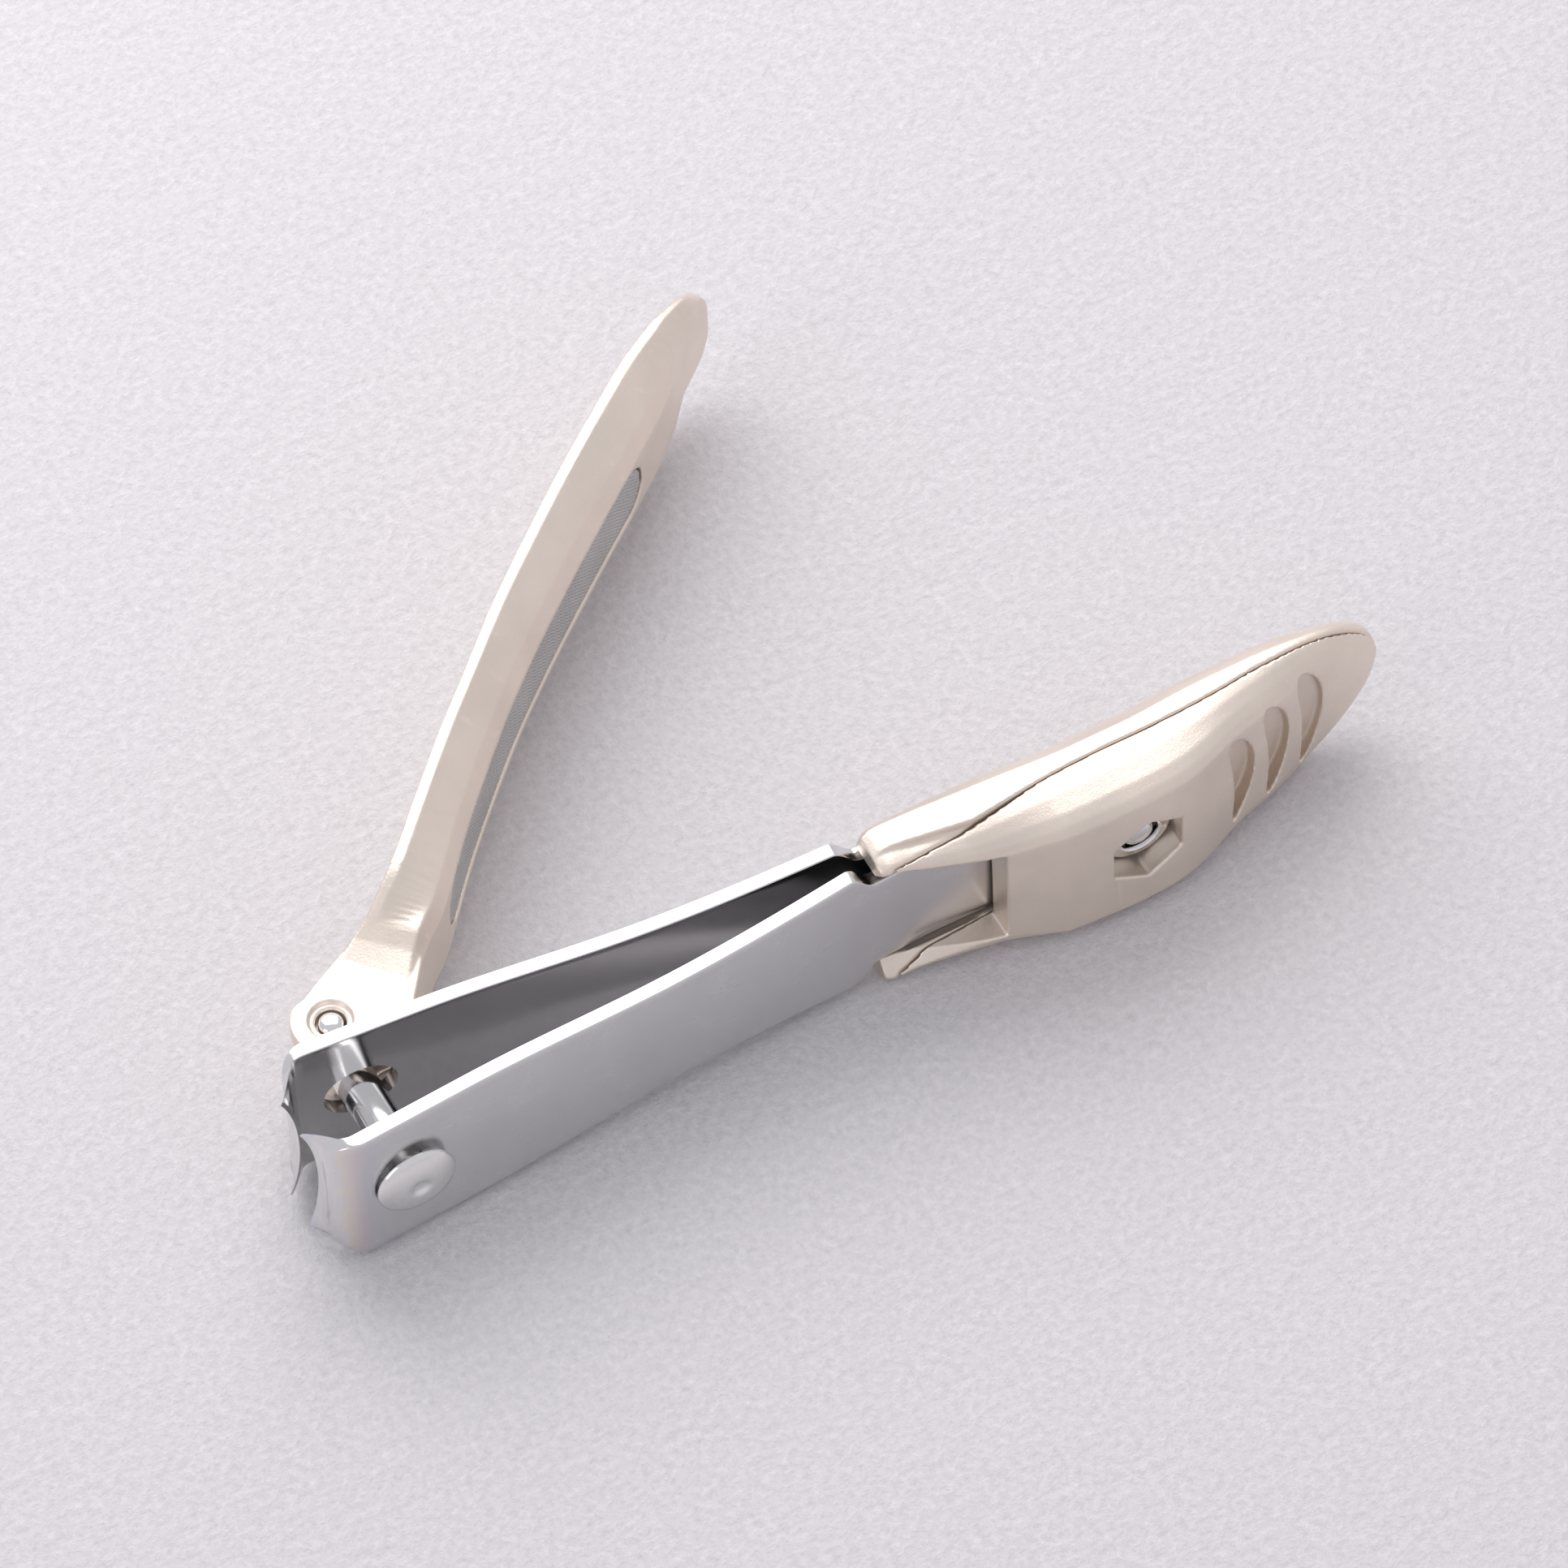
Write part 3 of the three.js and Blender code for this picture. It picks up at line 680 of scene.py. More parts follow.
HANDLE_FRONT = 42.8
FRONT_TAPER, FRONT_TAPER_RATE = 0.9, 0.45
HANDLE_HALF = 8.2
HANDLE_TIP = 89.8
HANDLE_TOP = [
    (42.8, 1.9), (43.3, 2.5), (44.5, 2.9), (51, 3.1), (57.7, 3.2), (64.3, 3.3), (68.5, 3.42),
    (72, 3.5), (79, 3.55), (84.5, 3.7), (88, 3.8), (89.8, 3.5),
]
HANDLE_LOW = [
    (42.8, -2.75), (43.3, -2.95), (45.3, -3.2), (52.7, -4.85), (57.6, -6.2), (60, -6.33), (63.5, -6.4),
    (66.5, -6.25), (69, -5.85), (71.5, -4.95), (74.3, -3.75), (78.5, -2.45), (82.5, -0.95), (86, 0.1),
    (88.5, 0.9), (89.8, 1.7),
]
HANDLE_JOINT = [
    (42.8, -2.95), (44.5, -2.75), (46.8, -2.5), (49.5, -2.3), (52, -2.05), (54, -1.8), (56.2, -1.5),
    (58, -1.3), (60.7, -1.1), (64, -0.98), (67.2, -0.95), (70.4, -0.82), (74.5, -0.5), (77.2, -0.15),
    (80, 0.17), (82.8, 0.62), (85.6, 1.05), (87.6, 1.4), (91, 2.2),
]
# how far the lower corner stands in from the side
CORNER_IN = [
    (42.8, 0.5), (44, 0.8), (46.7, 1.5), (49.4, 1.9), (52.7, 2.3), (57.6, 1.45), (66.5, 1.35),
    (71.5, 1.6), (76, 2.1), (89.8, 2.4),
]
# how far the lower casting's side stands back under the joint
STEP_IN = [(42.8, 0.0), (43.6, 0.15), (46, 0.6), (50, 0.75), (57.6, 0.0), (91, 0.0)]
# how much the bottom rises from its corner to the window
BOTTOM_RISE = [(42.8, 1.1), (44, 1.2), (47, 0.9), (50, 0.45), (52.7, 0.0), (91, 0.0)]
LOWER_START = 43.9
RIDGE_X = 57.6
# height of the edge between the upper casting's side and its sloping shoulder
SHOULDER_EDGE = [
    (42.8, 0.9), (44, 1.15), (53, 0.8), (61, 0.45), (66, 0.5), (72, 0.85), (80, 1.1), (84.5, 1.5),
    (88, 2.2), (89.8, 2.6),
]
# how far the shoulder swells out of its straight slope
SHOULDER_BULGE = [
    (42.8, 0.2), (48.5, 0.4), (55, 0.45), (60, 0.1), (66, 0.15), (72, 0.4), (80, 0.5), (89.8, 0.3),
]
CHAMFER_SHARE = 0.42
SLOT_Y, SLOT_Z = 2.05, 5.75
WINDOW_HALF = 5.5
WINDOW = [(40, -1.6), (52.8, -1.6), (52.8, -4.7), (52.95, -5.05), (53.3, -5.4), (53.8, -9), (40, -9)]
ROUND_TIP_FROM = 75.5
HEX_RADIUS = 3.6
HEX_FLOOR = -3.4
RIVET_TOP = 2.8
JOINT_GAP = 0.08
# (place along the handle, half length, height of the floor) of each grip pocket
POCKETS = [(73.6, 5.4, -2.2), (77.4, 5.8, -1.1), (81.2, 5.9, 0.0)]
POCKET_WIDTH, POCKET_BOW = 2.2, 1.2
# how far the cutters reach past the castings
PAST = 12


def handle_half(x):
    """Half the handle's width, drawn in at the front and round at the tip."""
    if x < HANDLE_FRONT + FRONT_TAPER:
        return HANDLE_HALF - FRONT_TAPER_RATE * (HANDLE_FRONT + FRONT_TAPER - x)
    if x < ROUND_TIP_FROM:
        return HANDLE_HALF
    step = min(0.995, (x - ROUND_TIP_FROM) / (HANDLE_TIP - ROUND_TIP_FROM))
    return HANDLE_HALF * (1 - step**2.3) ** 0.5


def handle_section(x):
    """The outer outline of both castings together at one place along the handle."""
    top = flow(HANDLE_TOP, x)
    low = along(HANDLE_LOW, x) if x < RIDGE_X + 2 else flow(HANDLE_LOW, x)
    half = handle_half(x)
    height = top - low
    slim = half / HANDLE_HALF
    crown = 0.4 * slim
    edge = flow(SHOULDER_EDGE, x)
    bulge = along(SHOULDER_BULGE, x) * slim
    belt = max(flow(HANDLE_JOINT, x), low + 0.32 * height)
    belt = min(belt, edge - 0.15)
    corner = min(along(CORNER_IN, x), half * 0.5)
    step = along(STEP_IN, x)
    rise = along(BOTTOM_RISE, x)
    under = belt - low
    flat = 1 - CHAMFER_SHARE
    side = [(top + crown * (1 - t * t), flat * half * t) for t in (0, 0.35, 0.7)]
    for f in spread(1, 0, 4):
        swell = bulge * math.sin(math.pi * f)
        width = half * (1 - CHAMFER_SHARE * f)
        side.append((edge + f * (top - edge) + 0.78 * swell, width + 0.62 * swell))
    side += [
        (belt + 0.02, half),
        (belt - 0.02, half - step),
        (belt - 0.35 * under, half - step - 0.12 * (corner - step)),
        (belt - 0.7 * under, half - step - 0.38 * (corner - step)),
        (belt - 0.9 * under, half - step - 0.7 * (corner - step)),
        (low + 0.16 * min(1.0, under / 3), half - corner),
        (low + 0.02, 0.965 * (half - corner)),
        (low + rise * 0.6, 0.87 * (half - corner)),
        (low + rise, 0.8 * (half - corner)),
        (low + rise, 0.0),
    ]
    mirrored = [(y, -z) for y, z in side[1:-1]][::-1]
    return [(x, y, z) for y, z in side + mirrored]


def crescent(x, half, width, bow):
    """A bowed outline, broad at one end and pointed at the other."""
    outer, inner = [], []
    for t in spread(-1, 1, 14):
        swell = width / 2 * math.sqrt(max(0.0, 1 - t * t * 0.97)) * (1 + 0.3 * t)
        middle = x + bow * (1 - t * t)
        outer.append((middle + swell, half * t))
        inner.append((middle - swell, half * t))
    return outer + inner[::-1]


def handle_cutters():
    """The blades' slot, the window, the rivet's hole, the collar's hexagon and the pockets."""
    turns = [math.pi / 6 + math.pi / 3 * i for i in range(6)]
    hexagon = [(RIVET_X + HEX_RADIUS * math.cos(t), HEX_RADIUS * math.sin(t)) for t in turns]
    return [
        box("slot", (40, -SLOT_Y, -SLOT_Z), (72, SLOT_Y, SLOT_Z)),
        prism_z("window", WINDOW, -WINDOW_HALF, WINDOW_HALF),
        prism_y("bore", circle(RIVET_HOLE, 32, x=RIVET_X), -PAST, RIVET_TOP),
        prism_y("hexagon", hexagon, -PAST, HEX_FLOOR),
    ] + [
        prism_y("pocket", crescent(x, half, POCKET_WIDTH, POCKET_BOW), -PAST, floor)
        for x, half, floor in POCKETS
    ]


def handle_shells(cell):
    """The two castings, parted along the joint with a narrow gap between them."""
    stations = spread(HANDLE_FRONT, 43.6, 4) + spread(44.2, 56.6, 24) + spread(56.9, 58.3, 6)
    stations += spread(58.8, 87.2, 46) + [87.8, 88.3, 88.8, 89.2, 89.5, 89.7, HANDLE_TIP]
    upper = loft("handle", [handle_section(x) for x in stations])
    cut(upper, *handle_cutters())
    lower = bare_object("lower", [], [], [])
    lower.data = upper.data.copy()
    front, back, gap = LOWER_START, 91, JOINT_GAP
    line = [(x, flow(HANDLE_JOINT, x)) for x in spread(front, back, 60)]
    above = [(front - gap, -PAST)] + [(x - gap, y + gap / 2) for x, y in line]
    above += [(back, PAST), (38, PAST), (38, -PAST)]
    below = [(x + gap, y - gap / 2) for x, y in line] + [(back + 1, -PAST), (front + gap, -PAST)]
    join_by(upper, prism_z("above", above, -PAST, PAST), "INTERSECT")
    join_by(lower, prism_z("below", below, -PAST, PAST), "INTERSECT")
    return thin_out(cast(upper, cell, 14), 0.3), thin_out(cast(lower, cell, 14), 0.4)


# ---- lever ----------------------------------------------------------------------------

# back x and y, underside x and y, half width of the back and of the underside
LEVER_STATIONS = [
    (2.9, 13.5, 7.3, 8.3, 3.65, 3.3),
    (4.6, 14.5, 8.9, 10.3, 4.2, 3.3),
    (6.2, 15.3, 10.3, 11.7, 4.9, 3.2),
    (8.0, 16.4, 11.9, 13.1, 6.2, 3.1),
    (9.9, 17.9, 13.5, 14.8, 6.9, 3.1),
    (14.2, 22.3, 17.7, 19.8, 7.0, 3.1),
    (18.7, 26.9, 22.2, 24.6, 7.0, 3.1),
    (23.4, 31.4, 26.8, 29.2, 7.0, 3.1),
    (28.2, 36.0, 31.4, 33.3, 7.0, 3.1),
    (33.3, 40.4, 36.2, 37.3, 7.0, 3.1),
    (38.6, 44.8, 41.2, 41.3, 7.0, 3.1),
    (44.1, 49.1, 46.7, 45.6, 6.95, 3.1),
    (48.5, 52.4, 51.2, 49.4, 6.8, 3.0),
    (52.6, 55.0, 54.4, 53.1, 6.3, 2.9),
    (55.9, 56.8, 56.9, 55.3, 5.0, 2.6),
    (57.9, 57.7, 58.4, 56.6, 3.0, 1.8),
    (58.7, 58.0, 58.9, 57.4, 1.2, 0.8),
]
NOSE_RADIUS = 3.25
EAR_HALF = 3.65
EAR_SLOT = 2.05
PIN_BORE = 1.25
PIN_RADIUS = 1.06
RECESS_RADIUS, RECESS_DEPTH = 1.8, 0.3
POST_RADIUS = 1.75
POST_ROOM = 0.35
# directions of the post seen from the lever, over its whole swing
SWEEP_FROM, SWEEP_TO, SWEEP_REACH = -54, 136, 14
FILE_FROM, FILE_TO = 4, 11
FILE_HALF = 2.3
FILE_THICK = 0.35
FILE_RECESS = 0.6
FILE_RIM = 0.25
FILE_SINK = 0.18


def curve_point(points, t):
    """Smooth curve through the points; t counts the points passed."""
    i = min(int(t), len(points) - 2)
    f = t - i
    p1, p2 = Vector(points[i]), Vector(points[i + 1])
    p0 = Vector(points[i - 1]) if i > 0 else p1 * 2 - p2
    p3 = Vector(points[i + 2]) if i + 2 < len(points) else p2 * 2 - p1
    square = (2 * p0 - 5 * p1 + 4 * p2 - p3) * f * f
    return 0.5 * (2 * p1 + (p2 - p0) * f + square + (3 * p1 - p0 - 3 * p2 + p3) * f**3)


def lever_section(row):
    """A flat underside, two bevels and a soft-edged back."""
    bx, by, ux, uy, back_half, under_half = row
    line = Vector((ux - bx, uy - by))
    depth = line.length
    line.normalize()
    band = min(0.9, depth * 0.3)
    soft = min(0.3, depth * 0.12)
    facet = min(0.75, depth * 0.18)
    side = [
        (-0.06, 0.0),
        (0.0, 0.5 * back_half),
        (soft * 0.4, back_half - 0.8),
        (soft, back_half),
        (soft + band, back_half),
        (depth - facet, min(under_half + 1.6, back_half - 0.02)),
        (depth, under_half),
        (depth, 0.0),
    ]
    ring = side + [(d, -z) for d, z in side[1:-1]][::-1]
    return [(bx + line.x * d, by + line.y * d, z) for d, z in ring]


def ear_outline():
    """The ears' outline, round about the pin at the nose."""
    nose = []
    for angle in spread(128, 243, 20):
        turn = math.radians(angle)
        nose.append((POST_X + NOSE_RADIUS * math.cos(turn), PIN_Y + NOSE_RADIUS * math.sin(turn)))
    inner = [(5.3, 5.65), (5.8, 5.9), (6.15, 6.55), (8.9, 10.3), (4.6, 14.5)]
    return [(2.9, 13.5), (0.5, 12.25), (-1.1, 11.35)] + nose + inner


def post_sweep():
    """The room that the post needs in the lever's slot, from its lowest to its highest lean."""
    radius = POST_RADIUS + POST_ROOM
    centre = Vector((POST_X, PIN_Y))

    def polar(angle, distance):
        turn = math.radians(angle)
        return Vector((POST_X + distance * math.cos(turn), PIN_Y + distance * math.sin(turn)))

    points = [polar(angle, radius) for angle in spread(SWEEP_FROM + 90, SWEEP_TO - 90, 6)]
    points.append(points[-1] + polar(SWEEP_TO, SWEEP_REACH) - centre)
    points += [polar(angle, SWEEP_REACH) for angle in (180, -125, -90)]
    points.append(points[0] + polar(SWEEP_FROM, SWEEP_REACH) - centre)
    return [tuple(p) for p in points]


def file_line(sink):
    """Middle points along the lever's underside, sunk into it."""
    line = []
    for row in LEVER_STATIONS[FILE_FROM:FILE_TO + 1]:
        inward = Vector((row[0] - row[2], row[1] - row[3])).normalized()
        line.append((row[2] + inward.x * sink, row[3] + inward.y * sink))
    return line


def file_rows(sink, half, shorten, steps):
    """(middle point, inward normal, half width) along the file with its rounded ends."""
    line = file_line(sink)
    last = len(line) - 1
    fine = [curve_point(line, last * i / 400) for i in range(401)]
    lengths = [0.0]
    for a, b in zip(fine, fine[1:]):
        lengths.append(lengths[-1] + (b - a).length)
    total = lengths[-1]
    rows = []
    for i in range(steps + 1):
        ease = (1 - math.cos(math.pi * i / steps)) / 2
        run = shorten + (total - 2 * shorten) * ease
        k = min(next((n for n, s in enumerate(lengths) if s >= run), 400), 399)
        tangent = (fine[k + 1] - fine[k]).normalized()
        share = (run - lengths[k]) / max(1e-9, lengths[k + 1] - lengths[k])
        point = fine[k] + (fine[k + 1] - fine[k]) * share
        end = min(run - shorten, total - shorten - run)
        round_off = min(1.0, (end + 0.1) / half)
        wide = half * math.sqrt(1 - (1 - round_off) ** 2)
        rows.append((point, Vector((-tangent.y, tangent.x)), wide))
    return rows


def strip(name, sink, thick, half, shorten, steps=60):
    rings = []
    for point, inward, wide in file_rows(sink, half, shorten, steps):
        far = point + inward * thick
        corners = ((point, -wide), (point, wide), (far, wide), (far, -wide))
        rings.append([(p.x, p.y, z) for p, z in corners])
    return loft(name, rings)


def lever_row(t):
    """The lever's section values at t, straight near the ears and smooth further on."""
    k = min(int(t), len(LEVER_STATIONS) - 2)
    row = [p + (q - p) * (t - k) for p, q in zip(LEVER_STATIONS[k], LEVER_STATIONS[k + 1])]
    if t > 3:
        row[0:2] = curve_point([r[0:2] for r in LEVER_STATIONS], t)
        row[2:4] = curve_point([r[2:4] for r in LEVER_STATIONS], t)
    return row


def lever_mesh(cell):
    """The lever with its ears, slot, pin bore and the file's bed."""
    rows = [lever_row(i / 4) for i in range((len(LEVER_STATIONS) - 1) * 4 + 1)]
    arm = loft("lever", [lever_section(row) for row in rows])
    join_by(arm, prism_z("ear", ear_outline(), -EAR_HALF, EAR_HALF), "UNION")
    cut(arm, prism_z("sweep", post_sweep(), -EAR_SLOT, EAR_SLOT))
    floor = EAR_HALF - RECESS_DEPTH
    for low, high, radius in ((-6, 6, PIN_BORE), (floor, 6, RECESS_RADIUS), (-6, -floor, RECESS_RADIUS)):
        cut(arm, prism_z("bore", circle(radius, 48, POST_X, PIN_Y), low, high))
    cut(arm, strip("bed", -1, 1 + FILE_RECESS, FILE_HALF + FILE_RIM, 0))
    return thin_out(cast(arm, cell, 7), 0.3)


# ---- geometry node trees -----------------------------------------------------------------


SWING = 20.0
POLE_MERGE = 0.002


def run_tree(obj, tree, values):
    """Runs a tree on an object with its inputs set by name, and keeps the plain mesh."""
    step = obj.modifiers.new(tree.name, "NODES")
    step.node_group = tree
    for item in tree.interface.items_tree:
        if item.item_type == "SOCKET" and item.in_out == "INPUT" and item.name in values:
            step[item.identifier] = values[item.name]
    return evaluate(obj)


def piece_tree(name, inputs):
    """A geometry tree with a Geometry socket, the given inputs and a Material."""
    geometry = ("Geometry", "NodeSocketGeometry")
    rows = [(*geometry, None), *inputs, ("Material", "NodeSocketMaterial", None)]
    return new_tree(name, "GeometryNodeTree", rows, [geometry])


def close_tree(tree, geometry, start, end):
    """Ends a tree in real geometry with the material set on it."""
    real = first_of(tree, "GeometryNodeRealizeInstances", {"Geometry": geometry})
    links = {"Geometry": real, "Material": start.outputs["Material"]}
    painted = first_of(tree, "GeometryNodeSetMaterial", links)
    tree.links.new(painted, end.inputs["Geometry"])


def turned_part_tree():
    """Turns a profile drawn in X and Y round the Y axis, X being the radius."""
    inputs = [("Segments", "NodeSocketInt", 64), ("Swing", "NodeSocketFloat", SWING)]
    tree, start, end = piece_tree("Turned part", inputs)
    swing = start.outputs["Swing"]
    profile = first_of(tree, "GeometryNodeMeshToCurve", {"Mesh": start.outputs["Geometry"]})
    aside = first_of(tree, "ShaderNodeCombineXYZ", {"X": maths(tree, "MULTIPLY", swing, -1.0)})
    shifted = first_of(tree, "GeometryNodeTransform", {"Geometry": profile, "Translation": aside})
    links = {"Resolution": start.outputs["Segments"], "Radius": swing}
    ring = first_of(tree, "GeometryNodeCurvePrimitiveCircle", links)
    wall = first_of(tree, "GeometryNodeCurveToMesh", {"Curve": ring, "Profile Curve": shifted})
    links = {"Geometry": wall, "Rotation": (math.pi / 2, 0, 0)}
    stood = first_of(tree, "GeometryNodeTransform", links)
    closed = first_of(tree, "GeometryNodeMergeByDistance", {"Geometry": stood, "Distance": POLE_MERGE})
    close_tree(tree, closed, start, end)
    return tree


def file_teeth_tree():
    """Stands a small pyramid on the middle of every face of the file's bed."""
    inputs = [("Tooth Width", "NodeSocketFloat", 0.34), ("Tooth Height", "NodeSocketFloat", 0.12)]
    tree, start, end = piece_tree("File teeth", inputs)
    width = start.outputs["Tooth Width"]
    kept = node(
        tree, "GeometryNodeCaptureAttribute", {"Geometry": start.outputs["Geometry"]}, domain="FACE"
    )
    kept.capture_items.new("VECTOR", "Lie")
    tree.links.new(first_of(tree, "GeometryNodeInputNormal"), kept.inputs[1])
    points = first_of(tree, "GeometryNodeMeshToPoints", {"Mesh": kept.outputs["Geometry"]}, mode="FACES")
    facing = first_of(tree, "FunctionNodeAlignRotationToVector", {"Vector": kept.outputs[1]}, axis="Z")
    links = {
        "Vertices": 4,
        "Radius Top": maths(tree, "MULTIPLY", width, 0.16),
        "Radius Bottom": maths(tree, "MULTIPLY", width, 0.7),
        "Depth": start.outputs["Tooth Height"],
    }
    cone = first_of(tree, "GeometryNodeMeshCone", links)
    links = {"Points": points, "Instance": cone, "Rotation": facing}
    teeth = first_of(tree, "GeometryNodeInstanceOnPoints", links)
    close_tree(tree, teeth, start, end)
    return tree


def profile_object(name, profile):
    """A bare polyline to be turned by the tree."""
    edges = [(i, i + 1) for i in range(len(profile) - 1)]
    return bare_object(name, [(radius, height, 0.0) for radius, height in profile], edges, [])


# ---- panel values --------------------------------------------------------------------------


def length(name, description, default, low, high):
    """A panel length, given here in millimetres and held in metres."""
    return bpy.props.FloatProperty(
        name=name,
        description=description,
        default=default * MM,
        min=low * MM,
        max=high * MM,
        subtype="DISTANCE",
        unit="LENGTH",
        precision=5,
    )


def colour_of(name, description, default):
    return bpy.props.FloatVectorProperty(
        name=name, description=description, default=default, subtype="COLOR", min=0.0, max=1.0
    )


class ClipperSizes(bpy.types.PropertyGroup):
    """Sizes that a user may change before the pieces are built."""

    sheet: length("Blade thickness", "Thickness of the blades' steel", 1.3, 0.8, 2.0)
    upper_bore: length("Upper blade hole", "Radius of the post's hole in the upper blade", 2.7, 2.0, 3.5)
    lower_bore: length("Lower blade hole", "Radius of the post's hole in the lower blade", 2.6, 2.0, 3.2)
    cell: length("Casting detail", "Cell size of the castings' skin; smaller is crisper", 0.12, 0.1, 0.5)
    pitch: length("File pitch", "Distance between the file's teeth", 0.42, 0.2, 1.0)
    tooth: length("Tooth height", "Height of the file's teeth", 0.1, 0.02, 0.2)


class ClipperColours(bpy.types.PropertyGroup):
    """Colours of the finishes and of the paper."""

    casting: colour_of("Casting", "Champagne coat of the handle and the lever", (0.80, 0.706, 0.62))
    blade: colour_of("Blade steel", "Colour of the blades' steel", (0.74, 0.735, 0.74))
    turned: colour_of("Turned steel", "Colour of the post, pin, rivet and collar", (0.80, 0.795, 0.79))
    file: colour_of("File steel", "Colour of the nail file", (0.50, 0.485, 0.475))
    paper: colour_of("Paper", "Colour of the sheet that the clipper lies on", (0.688, 0.662, 0.682))


# ---- operators ---------------------------------------------------------------------------------


class CLIPPER_OT_blades(bpy.types.Operator):
    """Builds the two sprung cutting blades"""

    bl_idname = "clipper.blades"
    bl_label = "Blades"

    def execute(self, context):
        sizes = context.scene.clipper_sizes
        looks = finishes()
        for name, hole, side, body in (
            ("upper_blade", sizes.upper_bore, 1, "upper_blade"),
            ("lower_blade", sizes.lower_bore, -1, "lower_blade"),
        ):
            obj = blade_mesh(name, sizes.sheet / MM, hole / MM, side)
            finish = [looks["satin"], looks["mirror"]]
            settle(obj, "sprung_" + name, body, name, finish, angle=32)
            paint_blade(obj, side)
        return {"FINISHED"}


class CLIPPER_OT_handle(bpy.types.Operator):
    """Builds the two castings of the handle"""

    bl_idname = "clipper.handle"
    bl_label = "Handle"

    def execute(self, context):
        upper, lower = handle_shells(context.scene.clipper_sizes.cell / MM)
        coat = [finishes()["casting"]]
        settle(upper, "cast_upper_shell", "handle", "handle_upper_shell", coat)
        settle(lower, "cast_lower_shell", "handle", "handle_lower_shell", coat)
        return {"FINISHED"}


class CLIPPER_OT_lever(bpy.types.Operator):
    """Builds the cast lever with its ears and the file's bed"""

    bl_idname = "clipper.lever"
    bl_label = "Lever"

    def execute(self, context):
        arm = lever_mesh(context.scene.clipper_sizes.cell / MM)
        settle(arm, "cast_lever", "lever", "lever_arm", [finishes()["casting"]])
        return {"FINISHED"}


class CLIPPER_OT_nail_file(bpy.types.Operator):
    """Builds the nail file and its cut teeth"""

    bl_idname = "clipper.nail_file"
    bl_label = "Nail file"

    def execute(self, context):
        sizes = context.scene.clipper_sizes
        plate = strip("plate", FILE_SINK, FILE_THICK, FILE_HALF, FILE_RIM)
        bed = file_bed(FILE_SINK, sizes.pitch / MM)
        steel = finishes()["file"]
        run_tree(
            bed,
            file_teeth_tree(),
            {"Tooth Width": sizes.pitch / MM, "Tooth Height": sizes.tooth / MM, "Material": steel},
        )
        plate = merge_objects(plate, bed)
        settle(plate, "cut_nail_file", "lever", "nail_file", [steel], angle=20)
        return {"FINISHED"}


# shares of the pitch: first row, row spacing, bare rim at the sides, half a square
BED_START, BED_ROW, BED_RIM, BED_SQUARE = 0.6, 0.5, 0.45, 0.2


def file_bed(sink, pitch):
    """The file's face as small turned squares, one for each tooth."""
    rows = file_rows(sink, FILE_HALF, FILE_RIM, 400)
    verts, faces = [], []
    travelled, next_row, count = 0.0, pitch * BED_START, 0
    for (a, normal, wide), (b, _, _) in zip(rows, rows[1:]):
        travelled += (b - a).length
        if travelled < next_row:
            continue
        next_row += pitch * BED_ROW
        count += 1
        tangent = Vector((normal.y, -normal.x))
        offset = pitch * 0.5 * (count % 2)
        steps = int((wide - 0.1) / pitch) + 1
        for k in range(-steps, steps + 1):
            z = k * pitch + offset
            if abs(z) > wide - pitch * BED_RIM:
                continue
            half = pitch * BED_SQUARE
            base = len(verts)
            for du, dz in ((-half, -half), (half, -half), (half, half), (-half, half)):
                corner = a + tangent * du
                verts.append((corner.x, corner.y, z + dz))
            faces.append((base, base + 1, base + 2, base + 3))
    obj = bare_object("bed", verts, [], faces)
    inward = rows[0][1]
    if obj.data.polygons[0].normal.dot(Vector((inward.x, inward.y, 0))) > 0:
        obj.data.flip_normals()
    return obj


def merge_objects(first, second):
    shape = bmesh.new()
    shape.from_mesh(first.data)
    shape.from_mesh(second.data)
    shape.to_mesh(first.data)
    shape.free()
    discard(second)
    return first


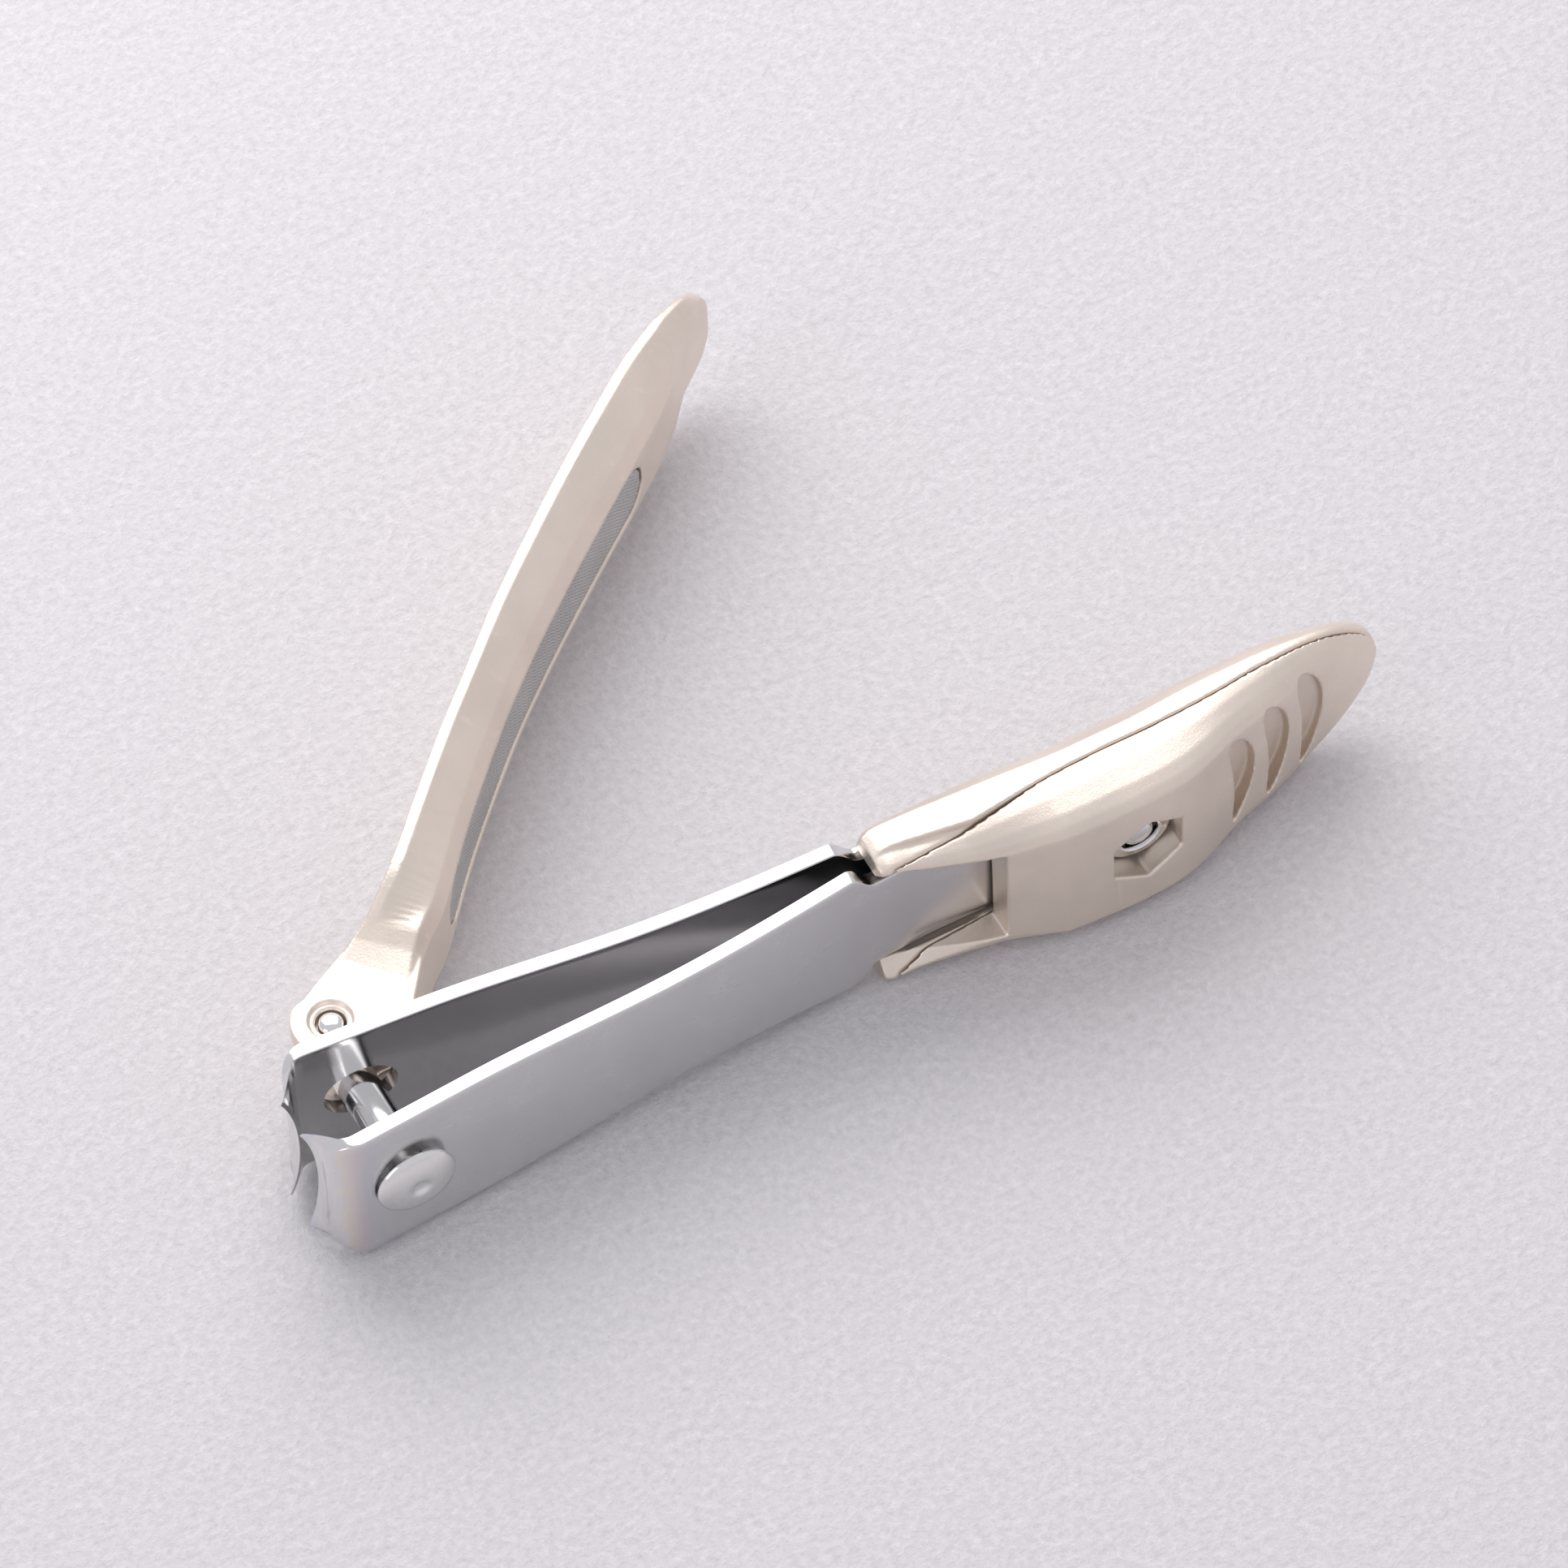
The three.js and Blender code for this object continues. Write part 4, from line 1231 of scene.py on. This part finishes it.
class CLIPPER_OT_turned_parts(bpy.types.Operator):
    """Builds the post, the cross pin, the tail rivet and its collar"""

    bl_idname = "clipper.turned_parts"
    bl_label = "Turned parts"

    def execute(self, context):
        tree = turned_part_tree()
        bright = finishes()["bright"]
        crown = PIN_Y + POST_RADIUS
        post = [
            (0, -6.45), (0.35, -6.46), (0.55, -6.5), (0.72, -6.6), (0.9, -6.68), (1.15, -6.7), (1.7, -6.63),
            (2.25, -6.5), (2.75, -6.33), (3.15, -6.14), (3.31, -6.0), (3.38, -5.86), (3.38, -5.72),
            (3.3, -5.62), (POST_RADIUS, -5.62), (POST_RADIUS, -3.3), (POST_RADIUS, 0), (POST_RADIUS, 4),
            (POST_RADIUS, crown - 1.1), (1.4, crown - 0.35), (0.7, crown - 0.05), (0, crown),
        ]
        end = EAR_HALF - 0.1
        fall = ((0, 0), (0.3, 0.02), (0.6, 0.08), (0.85, 0.18), (1.0, 0.34), (PIN_RADIUS, 0.5))
        dome = [(radius, end - drop) for radius, drop in fall]
        pin = dome + [(PIN_RADIUS, 1.5), (PIN_RADIUS, -1.5)] + [(r, -y) for r, y in reversed(dome)]
        rivet = [
            (0, -4.85), (0.6, -4.83), (0.95, -4.76), (1.2, -4.62), (1.35, -4.4), (1.35, 2.3), (1.15, 2.5),
            (0, 2.5),
        ]
        collar = [
            (1.66, -3.7), (1.66, -4.45), (1.72, -4.62), (1.9, -4.72), (2.1, -4.66), (2.3, -4.52),
            (2.55, -4.48), (2.8, -4.44), (2.95, -4.32), (3.0, -4.15), (3.0, -3.7), (1.66, -3.7),
        ]
        at_post = Matrix.Translation((POST_X, 0, 0))
        at_pin = Matrix.Translation((POST_X, PIN_Y, 0)) @ Matrix.Rotation(math.pi / 2, 4, "X")
        at_rivet = Matrix.Translation((RIVET_X, 0, 0))
        parts = (
            ("head_post", post, 96, "post", "lever_post", at_post),
            ("domed_cross_pin", pin, 64, "lever", "cross_pin", at_pin),
            ("domed_tail_rivet", rivet, 64, "handle", "tail_rivet", at_rivet),
            ("flanged_tail_collar", collar, 96, "handle", "tail_collar", at_rivet),
        )
        for name, profile, segments, body, cad, place in parts:
            obj = profile_object(name, profile)
            run_tree(obj, tree, {"Segments": segments, "Swing": SWING, "Material": bright})
            turn_outwards(obj, merge=POLE_MERGE)
            obj.data.transform(place)
            if cad == "lever_post":
                cut(obj, prism_z("pin bore", circle(PIN_BORE, 48, POST_X, PIN_Y), -4, 4))
            settle(obj, name, body, cad, [bright], angle=30)
        return {"FINISHED"}


FLOOR_HALF = 0.9
WORLD_COLOUR = (0.80, 0.80, 0.84, 1)
WORLD_STRENGTH = 0.88
LIGHTS_AIM = Vector((0.0, 0.0, 0.01))
# name, direction, distance and size in metres, watts and colour
LIGHTS = (
    ("key softbox", (0.26, 0.72, 0.82), 0.9, (0.9, 0.9), 4.2, (1.0, 0.985, 0.97)),
    ("corner glow", (-0.29, 0.94, 0.75), 0.26, (0.12, 0.12), 0.12, (1.0, 0.98, 0.97)),
    ("top softbox", (0.22, 0.50, 0.84), 1.15, (0.75, 0.75), 2.2, (1.0, 0.99, 0.98)),
    ("left fill", (-1.0, -0.25, 0.55), 1.1, (0.5, 0.8), 1.6, (0.95, 0.97, 1.0)),
)
CAMERA_PLACE = Vector((-231.7, -560.7, 916.5))
CAMERA_HEADING, CAMERA_TILT, CAMERA_ROLL = -25.53, 34.764, -3.022
CAMERA_LENS, CAMERA_SENSOR = 323.2, 36.0


class CLIPPER_OT_stage(bpy.types.Operator):
    """Sets the paper, the lights and the camera"""

    bl_idname = "clipper.stage"
    bl_label = "Stage"

    def execute(self, context):
        scene = context.scene
        low = CAD_BOX[0][2]
        signs = ((-1, -1), (1, -1), (1, 1), (-1, 1))
        corners = [(FLOOR_HALF * x, FLOOR_HALF * y, low) for x, y in signs]
        floor = mesh_object("paper", corners, [(0, 1, 2, 3)])
        if floor.data.polygons[0].normal.z < 0:
            floor.data.flip_normals()
        floor.data.materials.append(paper_material(scene.clipper_colours.paper))
        self.world(scene)
        self.lights(scene)
        self.camera(scene)
        return {"FINISHED"}

    def world(self, scene):
        world = bpy.data.worlds.new("studio")
        world.use_nodes = True
        back = world.node_tree.nodes["Background"]
        back.inputs["Color"].default_value = WORLD_COLOUR
        back.inputs["Strength"].default_value = WORLD_STRENGTH
        scene.world = world
        scene.view_settings.view_transform = "Standard"
        scene.view_settings.look = "None"

    def lights(self, scene):
        for name, direction, distance, size, power, colour in LIGHTS:
            data = bpy.data.lights.new(name, "AREA")
            data.shape = "RECTANGLE"
            data.size, data.size_y = size
            data.energy = power
            data.color = colour
            lamp = bpy.data.objects.new(name, data)
            scene.collection.objects.link(lamp)
            way = Vector(direction).normalized()
            lamp.location = LIGHTS_AIM + way * distance
            lamp.rotation_euler = way.to_track_quat("Z", "Y").to_euler()

    def camera(self, scene):
        data = bpy.data.cameras.new("camera")
        data.sensor_width = CAMERA_SENSOR
        data.lens = CAMERA_LENS
        data.clip_start = 0.05
        data.clip_end = 20.0
        camera = bpy.data.objects.new("camera", data)
        scene.collection.objects.link(camera)
        heading = Matrix.Rotation(math.radians(CAMERA_HEADING), 4, "Z")
        tilt = Matrix.Rotation(math.radians(CAMERA_TILT), 4, "X")
        roll = Matrix.Rotation(math.radians(CAMERA_ROLL), 4, "Z")
        place = Matrix.Translation(ORIGIN + CAMERA_PLACE * MM)
        camera.matrix_world = place @ heading @ tilt @ roll
        scene.camera = camera


class CLIPPER_PT_panel(bpy.types.Panel):
    """Lists the clipper's sizes, colours and pieces"""

    bl_idname = "CLIPPER_PT_panel"
    bl_label = "Nail clipper"
    bl_space_type = "VIEW_3D"
    bl_region_type = "UI"
    bl_category = "Clipper"

    def draw(self, context):
        layout = self.layout
        for group in (context.scene.clipper_sizes, context.scene.clipper_colours):
            box_layout = layout.box()
            for key in group.__annotations__:
                box_layout.prop(group, key)
        for operator in OPERATORS:
            layout.operator(operator.bl_idname)


OPERATORS = (
    CLIPPER_OT_stage,
    CLIPPER_OT_blades,
    CLIPPER_OT_handle,
    CLIPPER_OT_lever,
    CLIPPER_OT_nail_file,
    CLIPPER_OT_turned_parts,
)
CLASSES = (ClipperSizes, ClipperColours, *OPERATORS, CLIPPER_PT_panel)


def register():
    for item in CLASSES:
        bpy.utils.register_class(item)
    bpy.types.Scene.clipper_sizes = bpy.props.PointerProperty(type=ClipperSizes)
    bpy.types.Scene.clipper_colours = bpy.props.PointerProperty(type=ClipperColours)


def unregister():
    del bpy.types.Scene.clipper_colours
    del bpy.types.Scene.clipper_sizes
    for item in reversed(CLASSES):
        bpy.utils.unregister_class(item)


def main():
    register()
    bpy.ops.clipper.stage()
    bpy.ops.clipper.blades()
    bpy.ops.clipper.handle()
    bpy.ops.clipper.lever()
    bpy.ops.clipper.nail_file()
    bpy.ops.clipper.turned_parts()


if __name__ == "__main__":
    main()
